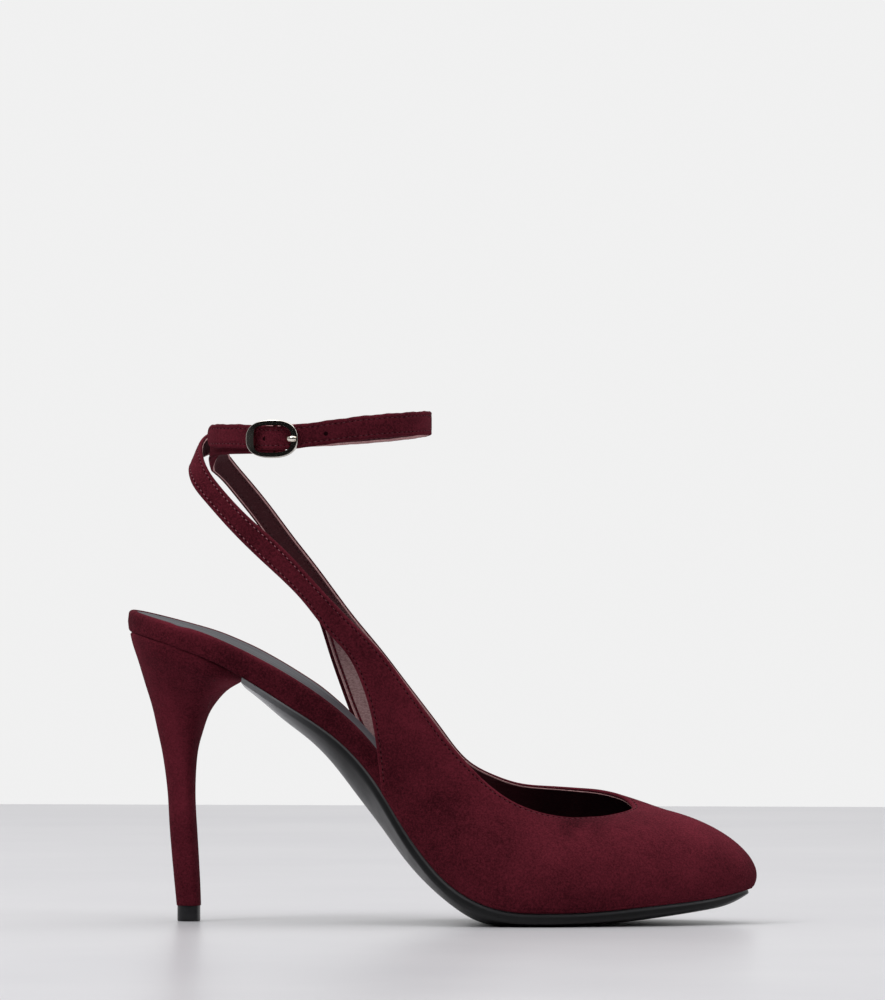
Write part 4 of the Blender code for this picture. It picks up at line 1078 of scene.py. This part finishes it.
# The top piece: a small block of hard black rubber under the heel, trimmed flush and a little
# rounded at its edge.
TIP_BEVEL = 0.35
TIP_SIDES = 64
RIM_ANGLE = 1.0
tip_rubber = plain_finish("top_piece_rubber", (0.012, 0.012, 0.014), 0.4, Specular_IOR_Level=0.4)
tip_grain = noise(tip_rubber, 900.0, 4.0)
colours(
    tip_rubber, spread(tip_rubber, tip_grain, 0.3, 0.7),
    (0.0, (0.008, 0.008, 0.0095)), (1.0, (0.016, 0.016, 0.0185)),
)
relief(tip_rubber, tip_grain, 0.00004)
tip_rings = []
for share in np.linspace(0.0, 1.0, TIP_SIDES + 1):
    x, y, _ = heel_cut(HEEL[-1], share, TIP_INSET)
    tip_rings.append([(x, y, height) for height in (TIP_HEIGHT + TIP_LAP, TIP_HEIGHT / 2, 0.0)])
tip = skin(np.array(tip_rings))
tip_rims = [edge for edge in tip.edges if edge.calc_face_angle(0.0) > RIM_ANGLE]
bmesh.ops.bevel(
    tip, geom=tip_rims, offset=TIP_BEVEL * MM, affect="EDGES", segments=3, profile=0.5, material=-1,
)
piece("heel_top_piece", tip, [tip_rubber], "top_piece", "heel_tip")

# The ankle strap: two layers of suede sewn back to back, going on from the lateral sling strap round
# the ankle, through the buckle and on past it. Its end is cut round, and small holes are punched for
# the prong.
LOOP_CENTRE = 65.2
LOOP_HALF_LENGTH = 37.6
LOOP_HALF_WIDTH = 28.0
STRAP_HALF_WIDTH = 4.05
Wrap = namedtuple("Wrap", "turn height lift")
ANKLE_WRAP = (
    Wrap(-166.0, 165.1, 1.95),
    Wrap(-140.0, 165.0, 1.95),
    Wrap(-117.4, 164.4, 2.0),
    Wrap(-108.6, 164.1, 3.45),
    Wrap(-103.9, 164.2, 3.1),
    Wrap(-98.4, 164.5, 2.0),
    Wrap(-87.0, 165.4, 1.9),
    Wrap(-66.0, 167.3, 0.6),
    Wrap(-40.0, 168.7, 0.0),
    Wrap(0.0, 169.6, 0.0),
    Wrap(40.0, 168.6, 0.0),
    Wrap(90.0, 166.6, 0.0),
    Wrap(125.0, 165.6, 1.0),
    Wrap(149.4, 165.1, 2.0),
)
STRAP_JOIN = 0.35
STRAP_UNEVEN = 0.08
STRAP_HOLE_SIZE = (0.37, 0.3, 0.1)
STRAP_STATIONS = 300
STRAP_END_TURN = 9.0
STRAP_END_STATIONS = 13
NARROWEST_END = 0.12
SEWN_FROM_ENDS = (7.0, 1.0)
BAND_STEPS = (0.4, 0.66, 0.74, 0.8, 0.86, 0.92, 1.0)
LINED_FROM = 0.995 * WALL
# Painted light and shade on the ankle strap's suede, partly the tone of its nap, in lighter and darker
# patches along it.
STRAP_NAP_AND_PAINTED_SHADING = (
    Stroke(-1, 36.0, 164.5, 9.0, 0.0, 5.0, 0.24),
    Stroke(-1, 91.0, 168.0, 4.5, 8.0, 2.4, -0.16),
    Stroke(-1, 64.0, 164.5, 4.0, 8.0, 2.4, -0.1),
    Stroke(-1, 84.0, 170.6, 6.0, 8.0, 1.2, 0.2),
    Stroke(-1, 100.0, 167.0, 6.0, 60.0, 4.0, 0.12),
)
wrap_turns = [row.turn for row in ANKLE_WRAP]
wrap_height = natural(wrap_turns, [row.height for row in ANKLE_WRAP])
wrap_lift = through(wrap_turns, [row.lift for row in ANKLE_WRAP])


def loop_place(turn, lift, height):
    """The point of the ankle loop at a turn in degrees, lift outside it, and its outward normal."""
    along, across = math.cos(math.radians(turn)), math.sin(math.radians(turn))
    normal = Vector((along / LOOP_HALF_LENGTH, across / LOOP_HALF_WIDTH, 0.0)).normalized()
    middle = Vector((LOOP_CENTRE + along * LOOP_HALF_LENGTH, across * LOOP_HALF_WIDTH, height))
    return middle + normal * lift, normal


def lateral_turn(x):
    """The turn on the lateral side of the loop whose face is at x."""
    return -math.degrees(math.acos((x - LOOP_CENTRE) / LOOP_HALF_LENGTH))


def band_section(half):
    """The section of a sewn band: how far above its middle and how deep inside its face, all round."""
    round_edge = min(FOLD_RADIUS, 0.45 * half)
    flat = half - round_edge
    across = [-step for step in BAND_STEPS[::-1]] + [0.0, *BAND_STEPS]
    rows = []
    for up in across:
        from_edge = half - abs(up) * flat
        rows.append((up * flat, STITCH_TROUGH * trough(from_edge - STITCH_FROM_EDGE, STITCH_PULL)))
    for a in FOLD_TURNS[1:-1]:
        rows.append((flat + round_edge * math.sin(a), FOLD_RADIUS * (1 - math.cos(a))))
    rows += [(up * flat, WALL) for up in across[::-1]]
    for a in FOLD_TURNS[1:-1]:
        rows.append((-flat - round_edge * math.sin(a), FOLD_RADIUS * (1 + math.cos(a))))
    return rows + rows[:1]


def band_slots():
    """The finish of each strip of a band: suede outside, lining inside, its raw edge between them."""
    depths = [depth for _, depth in band_section(STRAP_HALF_WIDTH)]
    slots = []
    for first, second in zip(depths, depths[1:]):
        inner = (first + second) / 2
        slots.append(0 if inner < TUCKED_FROM else 2 if inner < LINED_FROM else 1)
    return slots


def ankle_half(turn):
    """Half the strap's width, which narrows in a round at its end."""
    from_tip = LOOP_HALF_WIDTH * math.radians(turn - wrap_turns[0])
    rounding = max(0.0, 1 - from_tip / STRAP_HALF_WIDTH)
    return STRAP_HALF_WIDTH * max(NARROWEST_END, math.sqrt(1 - rounding**2))


def ankle_band(turn):
    """A section of the strap, whose edges are cut a little uneven."""
    uneven = STRAP_UNEVEN * (math.sin(turn * 0.37) + 0.6 * math.sin(turn * 0.91 + 1.0))
    rows = []
    for up, depth in band_section(ankle_half(turn)):
        rise = up + uneven * (1 if up > 0 else -0.5)
        rows.append(loop_place(turn, float(wrap_lift(turn)) - depth, float(wrap_height(turn)) + rise)[0])
    return rows


last_turn = wrap_turns[-1] + math.degrees(STRAP_JOIN / LOOP_HALF_LENGTH)
end_turns = wrap_turns[0] + STRAP_END_TURN * np.linspace(0.0, 1.0, STRAP_END_STATIONS + 1)[:-1] ** 2
band_turns = np.linspace(wrap_turns[0] + STRAP_END_TURN, last_turn, STRAP_STATIONS)
strap_turns = np.concatenate((end_turns, band_turns))
band_finishes = [suede, lining_leather, raw_edge]
ankle_points = np.array([ankle_band(turn) for turn in strap_turns])
ankle = skin(ankle_points, band_slots(), strokes(ankle_points, STRAP_NAP_AND_PAINTED_SHADING))
piece("ankle_strap_band", ankle, band_finishes, "suede", "ankle_strap")


def ankle_row(above, depth, turns):
    """A line along the strap's face, above its middle."""
    line, normals = [], []
    for turn in turns:
        place, normal = loop_place(turn, float(wrap_lift(turn)) - depth, float(wrap_height(turn)) + above)
        line.append(place)
        normals.append(normal)
    return np.array(line), np.array(normals)


strap_stitches = bmesh.new()
seam = STRAP_HALF_WIDTH - STITCH_FROM_EDGE
first_sewn, last_sewn = wrap_turns[0] + SEWN_FROM_ENDS[0], wrap_turns[-1] - SEWN_FROM_ENDS[1]
sewn_turns = np.linspace(first_sewn, last_sewn, STRAP_STATIONS)
for above in (-seam, seam):
    sew(strap_stitches, *ankle_row(above, STITCH_TROUGH, sewn_turns), STRAP_HOLE_SIZE)
    line, normals = ankle_row(above, WALL, sewn_turns)
    sew(strap_stitches, line, -normals)
piece("ankle_strap_stitches", strap_stitches, [thread, needle_hole_shade], "suede")

# The punched holes: two small round holes in the strap for the prong, drawn as thin dark discs
# painted as the shade in the pits, below the middle of its face.
HOLE_RADIUS = 0.75
HOLE_DEPTH = 0.06
HOLE_PROUD = 0.015
HOLE_BELOW_MIDDLE = 0.3
HOLES_AT = (50.3, 70.2)
punched_hole_shade = plain_finish("punched_hole", (0.008, 0.002, 0.003), 1.0, Specular_IOR_Level=0.0)
colours(
    punched_hole_shade, noise(punched_hole_shade, 2600.0, 3.0),
    (0.3, (0.005, 0.0015, 0.002)), (0.7, (0.016, 0.003, 0.005)),
)
pits = bmesh.new()
for hole_x in HOLES_AT:
    turn = lateral_turn(hole_x)
    height = float(wrap_height(turn)) - HOLE_BELOW_MIDDLE
    place, normal = loop_place(turn, float(wrap_lift(turn)) + HOLE_PROUD, height)
    facing = normal.to_track_quat("Z", "Y").to_matrix().to_4x4()
    bmesh.ops.create_cone(
        pits, cap_ends=True, segments=20, radius1=HOLE_RADIUS * MM, radius2=HOLE_RADIUS * 0.9 * MM,
        depth=HOLE_DEPTH * MM, matrix=Matrix.Translation(in_frame(place)) @ facing,
    )
piece("punched_holes", pits, [punched_hole_shade], "suede")

# The tab: it goes on from the end of the medial sling strap, turns round the back inside the lateral
# one and runs under the ankle strap to the buckle's centre bar.
TAB_START = (
    StrapRib((25.0, 11.7, 154.3), (31.1, 13.7, 159.4)),
    StrapRib((25.1, 8.3, 155.4), (29.9, 10.0, 162.4)),
    StrapRib((25.5, 4.1, 156.6), (28.0, 4.8, 165.5)),
    StrapRib((26.4, -0.5, 157.5), (27.6, 0.0, 167.2)),
)
TAB_STATIONS = 150
TAB_STEP = 0.2
LINING_END_LENGTH = 5.0
LINING_END_LAP = STRAP_JOIN + 0.2
LINING_END_RADIUS = 2.6
LINING_END_STATIONS = 24
LINING_END_FACE = WALL + 0.1
LINING_END_BACK = WALL - 0.3
TabCut = namedtuple("TabCut", "turn lower upper")
TAB_WRAP = (
    TabCut(-170.0, 158.1, 167.45),
    TabCut(-150.0, 158.8, 167.45),
    TabCut(-130.0, 158.9, 167.45),
    TabCut(-112.0, 159.0, 167.45),
    TabCut(-104.0, 159.2, 167.45),
)
tab_lower = [rib.lower for rib in TAB_START]
tab_upper = [rib.upper for rib in TAB_START]
for cut in TAB_WRAP:
    tab_lower.append(tuple(loop_place(cut.turn, 0.0, cut.lower)[0]))
    tab_upper.append(tuple(loop_place(cut.turn, 0.0, cut.upper)[0]))
tab_run = run_along(tab_lower)
tab_low, tab_top = natural(tab_run, tab_lower), natural(tab_run, tab_upper)


def tab_frame(place):
    """The lower and upper edge of the tab at a place along it, the way up across it and the way out."""
    low, top = Vector(tab_low(place)), Vector(tab_top(place))
    ahead = Vector(tab_low(place + TAB_STEP) + tab_top(place + TAB_STEP)) - low - top
    up = (top - low).normalized()
    return low, top, up, ahead.cross(up).normalized()


def tab_band(place):
    """A section of the tab."""
    low, top, up, outward = tab_frame(place)
    half = (top - low).length / 2
    middle = (low + top) / 2
    return [middle + up * above - outward * depth for above, depth in band_section(half)]


tab_places = np.linspace(-STRAP_JOIN, tab_run[-1] - TAB_STEP, TAB_STATIONS)
tab = skin(np.array([tab_band(place) for place in tab_places]))
piece("buckle_tab_band", tab, [suede], "suede", "buckle_tab")


def lining_end(place):
    """A section of the strap's lining where it runs on over the inside of the tab to its rounded end."""
    low, top, up, outward = tab_frame(place)
    from_end = max(LINING_END_LENGTH - place, 0.0)
    rounding = max(0.0, 1 - from_end / LINING_END_RADIUS)
    half = (top - low).length / 2 - LINING_FROM_EDGE - LINING_END_RADIUS * (1 - math.sqrt(1 - rounding**2))
    middle = (low + top) / 2
    across = np.array((-1.0, -1 + RAW_EDGE / half, -0.6, -0.2, 0.2, 0.6, 1 - RAW_EDGE / half, 1.0)) * half
    face = [middle + up * above - outward * LINING_END_FACE for above in across]
    back = [middle + up * above - outward * LINING_END_BACK for above in across[::-1]]
    return face + back + face[:1]


end_eased = np.sin(np.linspace(0.0, math.pi / 2, LINING_END_STATIONS))
end_places = (LINING_END_LENGTH + LINING_END_LAP) * end_eased - LINING_END_LAP
end_slots = [1, 0, 0, 0, 0, 0, 1] + [1] * 9
end_sheet = skin(np.array([lining_end(place) for place in end_places]), end_slots)
piece("lining_end", end_sheet, [lining_leather, raw_edge], "suede")

# The buckle: a small oval frame cast in one with its centre bar, and a prong bent from flat wire round
# the bar. Both are polished hard, dark where they face the dark side of the room and bright at the rims.
# The end of the tab is turned round the bar.
BUCKLE_AT = 53.25
BUCKLE_HALF_LENGTH = 7.25
BUCKLE_HALF_HEIGHT = 5.5
BUCKLE_HEIGHT = 163.75
FRAME_LIFT = 3.5
FRAME_HALF_THICKNESS = 0.8
FRAME_CORNER = 0.84
FRAME_INNER_CORNERS = (0.46, 0.66)
FRAME_EDGE_RADIUS = 0.34
FLAT_HOLD = 0.06
BAR_RADIUS = 0.6
BAR_LIFT = GAP + BAR_RADIUS
TURNED_RADIUS = 0.85
PRONG_RADIUS = 0.6
PRONG_WIDENING = 1.6
PRONG_HOLE_AT = 57.6
FRAME_BREADTH = 0.92
RIGHT_BROADER = 0.1
LEFT_BROADER = 0.4
FRAME_STATIONS = 144


def polished_metal(name, colour, scale, smoothest, roughest):
    """Polished metal with fine wear in its shine."""
    made = plain_finish(name, colour, (smoothest + roughest) / 2, Metallic=1.0)
    wear = noise(made, scale, 4.0, 0.6)
    wire(made, spread(made, wear, 0.3, 0.7, smoothest, roughest), "Roughness")
    return made


frame_metal = polished_metal("buckle_metal", (0.66, 0.62, 0.56), 700.0, 0.05, 0.1)
prong_metal = polished_metal("prong_metal", (0.86, 0.8, 0.7), 900.0, 0.1, 0.24)


def signed_power(value, power):
    return math.copysign(abs(value) ** power, value)


def bar_section(half_breadth, half_thickness):
    """The outline of a flat bar with rounded outer and sharp inner edges, with corners close to each
    rounding that keep its faces flat."""
    radius = FRAME_EDGE_RADIUS
    corners = []
    for up, start in ((1, 0.0), (-1, 270.0)):
        middle = np.array((half_breadth - radius, up * (half_thickness - radius)))
        spokes = [math.radians(start + turn) for turn in (0.0, 18.0, 36.0, 54.0, 72.0, 90.0)]
        rounding = [middle + radius * np.array((math.cos(spoke), math.sin(spoke))) for spoke in spokes]
        before = np.array((math.sin(spokes[0]), -math.cos(spokes[0]))) * FLAT_HOLD
        after = np.array((-math.sin(spokes[-1]), math.cos(spokes[-1]))) * FLAT_HOLD
        corners.append([rounding[0] + before, *rounding, rounding[-1] + after])
    inside = [np.array((-half_breadth, up * half_thickness)) for up in (1, -1)]
    rows = corners[0] + inside + corners[1]
    return rows + rows[:1]


def frame_ring(turn):
    """The section of the oval ring at a turn, bent along the strap; its left bar is the broadest."""
    side, rise = math.cos(turn), math.sin(turn)
    breadth = FRAME_BREADTH + RIGHT_BROADER * max(0.0, side) + LEFT_BROADER * max(0.0, -side) ** 2
    rows = []
    for across, up in bar_section(breadth, FRAME_HALF_THICKNESS):
        lift = FRAME_LIFT + up
        inner = (1 - across / breadth) / 2
        inner_corner = FRAME_INNER_CORNERS[0 if side < 0 else 1]
        corner = FRAME_CORNER + (inner_corner - FRAME_CORNER) * inner
        along = (BUCKLE_HALF_LENGTH + across) * signed_power(side, corner)
        height = (BUCKLE_HALF_HEIGHT + across) * signed_power(rise, corner)
        rows.append(loop_place(lateral_turn(BUCKLE_AT + along), lift, BUCKLE_HEIGHT + height)[0])
    return rows


def bar_points(route, radii, widening=1.0, sides=16, steps=40):
    """A bar through the points of a route, round, or widened upwards and downwards."""
    path = natural(range(len(route)), route)
    radius = natural(range(len(route)), radii)
    end = len(route) - 1
    rows = []
    for place in np.linspace(0.0, end, steps):
        ahead = (Vector(path(min(place + 0.05, end))) - Vector(path(max(place - 0.05, 0.0)))).normalized()
        across = ahead.cross(Vector((0.0, 0.0, 1.0)))
        if across.length < 0.1:
            across = ahead.cross(Vector((1.0, 0.0, 0.0)))
        across.normalize()
        beside = across.cross(ahead)
        ring = []
        for turn in np.linspace(0.0, 2 * math.pi, sides + 1):
            spoke = across * math.cos(turn) + beside * math.sin(turn) * widening
            ring.append(Vector(path(place)) + spoke * float(radius(place)))
        rows.append(ring)
    return np.array(rows)


ring_turns = np.linspace(0.0, 2 * math.pi, FRAME_STATIONS + 1)
ring = skin(np.array([frame_ring(turn) for turn in ring_turns]))
bar_ends = ((BUCKLE_HALF_HEIGHT, FRAME_LIFT), (5.1, BAR_LIFT + 0.6), (4.3, BAR_LIFT), (0.0, BAR_LIFT))
bar_turn = lateral_turn(BUCKLE_AT)
bar_route = [loop_place(bar_turn, lift, BUCKLE_HEIGHT + up)[0] for up, lift in bar_ends]
bar_route += [loop_place(bar_turn, lift, BUCKLE_HEIGHT - up)[0] for up, lift in bar_ends[-2::-1]]
join(ring, skin(bar_points(bar_route, [BAR_RADIUS] * len(bar_route))))
piece("buckle_frame_ring", ring, [frame_metal], "buckle_metal", "buckle_frame")
turned_route = [loop_place(bar_turn, BAR_LIFT, BUCKLE_HEIGHT + up)[0] for up in (4.7, 1.5, -1.5, -4.7)]
turned_end = skin(bar_points(turned_route, [TURNED_RADIUS] * len(turned_route)))
piece("tab_turned_end", turned_end, [suede], "suede")

prong_route = (
    (BUCKLE_AT + 1.8, BAR_LIFT - 0.05),
    (PRONG_HOLE_AT - 1.1, BAR_LIFT + 0.1),
    (PRONG_HOLE_AT, BAR_LIFT + 1.7),
    (PRONG_HOLE_AT + 1.1, FRAME_LIFT + 1.0),
    (BUCKLE_AT + BUCKLE_HALF_LENGTH - 0.4, FRAME_LIFT + 1.8),
    (BUCKLE_AT + BUCKLE_HALF_LENGTH + 0.5, FRAME_LIFT + 1.7),
)
prong_places = [loop_place(lateral_turn(x), lift, BUCKLE_HEIGHT)[0] for x, lift in prong_route]
prong_radii = [PRONG_RADIUS] * (len(prong_places) - 1) + [PRONG_RADIUS * 0.7]
prong = skin(bar_points(prong_places, prong_radii, PRONG_WIDENING))
piece("buckle_prong_wire", prong, [prong_metal], "buckle_metal", "buckle_prong")

# The studio: a pale floor that mirrors the shoe faintly, an even pale background, and soft light from
# above, from the left and, weaker, from the right.
FLOOR_BACK = 1.36
FLOOR_FRONT = -2.6
FLOOR_HALF_WIDTH = 3.0
BACKGROUND = 0.876
BRIGHT_SIDE = (0.0, 1.0, 0.6)
ROOM_FALL = (-0.6, 0.7)
ROOM_BRIGHTNESS = (0.012, 0.85)
floor_bm = bmesh.new()
bmesh.ops.create_grid(floor_bm, x_segments=1, y_segments=1, size=1.0)
for vert in floor_bm.verts:
    vert.co = (vert.co.x * FLOOR_HALF_WIDTH, FLOOR_BACK if vert.co.y > 0 else FLOOR_FRONT, 0.0)
floor_mesh = bpy.data.meshes.new("floor")
floor_bm.to_mesh(floor_mesh)
floor_bm.free()
floor_stone = plain_finish("floor_stone", (0.56, 0.555, 0.58), 0.3, Specular_IOR_Level=0.25)
floor_cloud = spread(floor_stone, noise(floor_stone, 4.0, 5.0, 0.6), 0.3, 0.7)
colours(floor_stone, floor_cloud, (0.0, (0.515, 0.51, 0.535)), (1.0, (0.573, 0.568, 0.588)))
floor_mesh.materials.append(floor_stone)
floor = bpy.data.objects.new("floor", floor_mesh)
bpy.context.scene.collection.objects.link(floor)

Lamp = namedtuple("Lamp", "name place aim size power")
LAMPS = (
    Lamp("top_light", (0.0, 0.0, 3.2), (0.0, 0.0, 0.0), 5.0, 121.0),
    Lamp("left_light", (-1.3, -1.0, 1.7), (0.0, 0.0, 0.08), 1.0, 16.0),
    Lamp("right_light", (1.6, -0.6, 0.9), (0.05, 0.0, 0.08), 0.9, 3.0),
)
for lamp in LAMPS:
    light = bpy.data.lights.new(lamp.name, "AREA")
    light.shape = "SQUARE"
    light.size = lamp.size
    light.energy = lamp.power
    stand = bpy.data.objects.new(lamp.name, light)
    stand.location = lamp.place
    stand.rotation_euler = (Vector(lamp.aim) - Vector(lamp.place)).to_track_quat("-Z", "Y").to_euler()
    bpy.context.scene.collection.objects.link(stand)

room = bpy.data.worlds.new("room")
room.use_nodes = True
room_nodes, room_links = room.node_tree.nodes, room.node_tree.links
room_nodes.clear()
shown = room_nodes.new("ShaderNodeBackground")
shown.inputs["Color"].default_value = (BACKGROUND, BACKGROUND, BACKGROUND, 1.0)
around = room_nodes.new("ShaderNodeBackground")
direction = room_nodes.new("ShaderNodeTexCoord")
towards = room_nodes.new("ShaderNodeVectorMath")
towards.operation = "DOT_PRODUCT"
towards.inputs[1].default_value = BRIGHT_SIDE
room_links.new(direction.outputs["Generated"], towards.inputs[0])
room_strength = spread(room, towards.outputs["Value"], *ROOM_FALL, *ROOM_BRIGHTNESS)
room_links.new(room_strength, around.inputs["Strength"])
ray = room_nodes.new("ShaderNodeLightPath")
mixed = room_nodes.new("ShaderNodeMixShader")
out = room_nodes.new("ShaderNodeOutputWorld")
room_links.new(ray.outputs["Is Camera Ray"], mixed.inputs["Fac"])
room_links.new(around.outputs["Background"], mixed.inputs[1])
room_links.new(shown.outputs["Background"], mixed.inputs[2])
room_links.new(mixed.outputs["Shader"], out.inputs["Surface"])
bpy.context.scene.world = room
bpy.context.scene.view_settings.view_transform = "Standard"
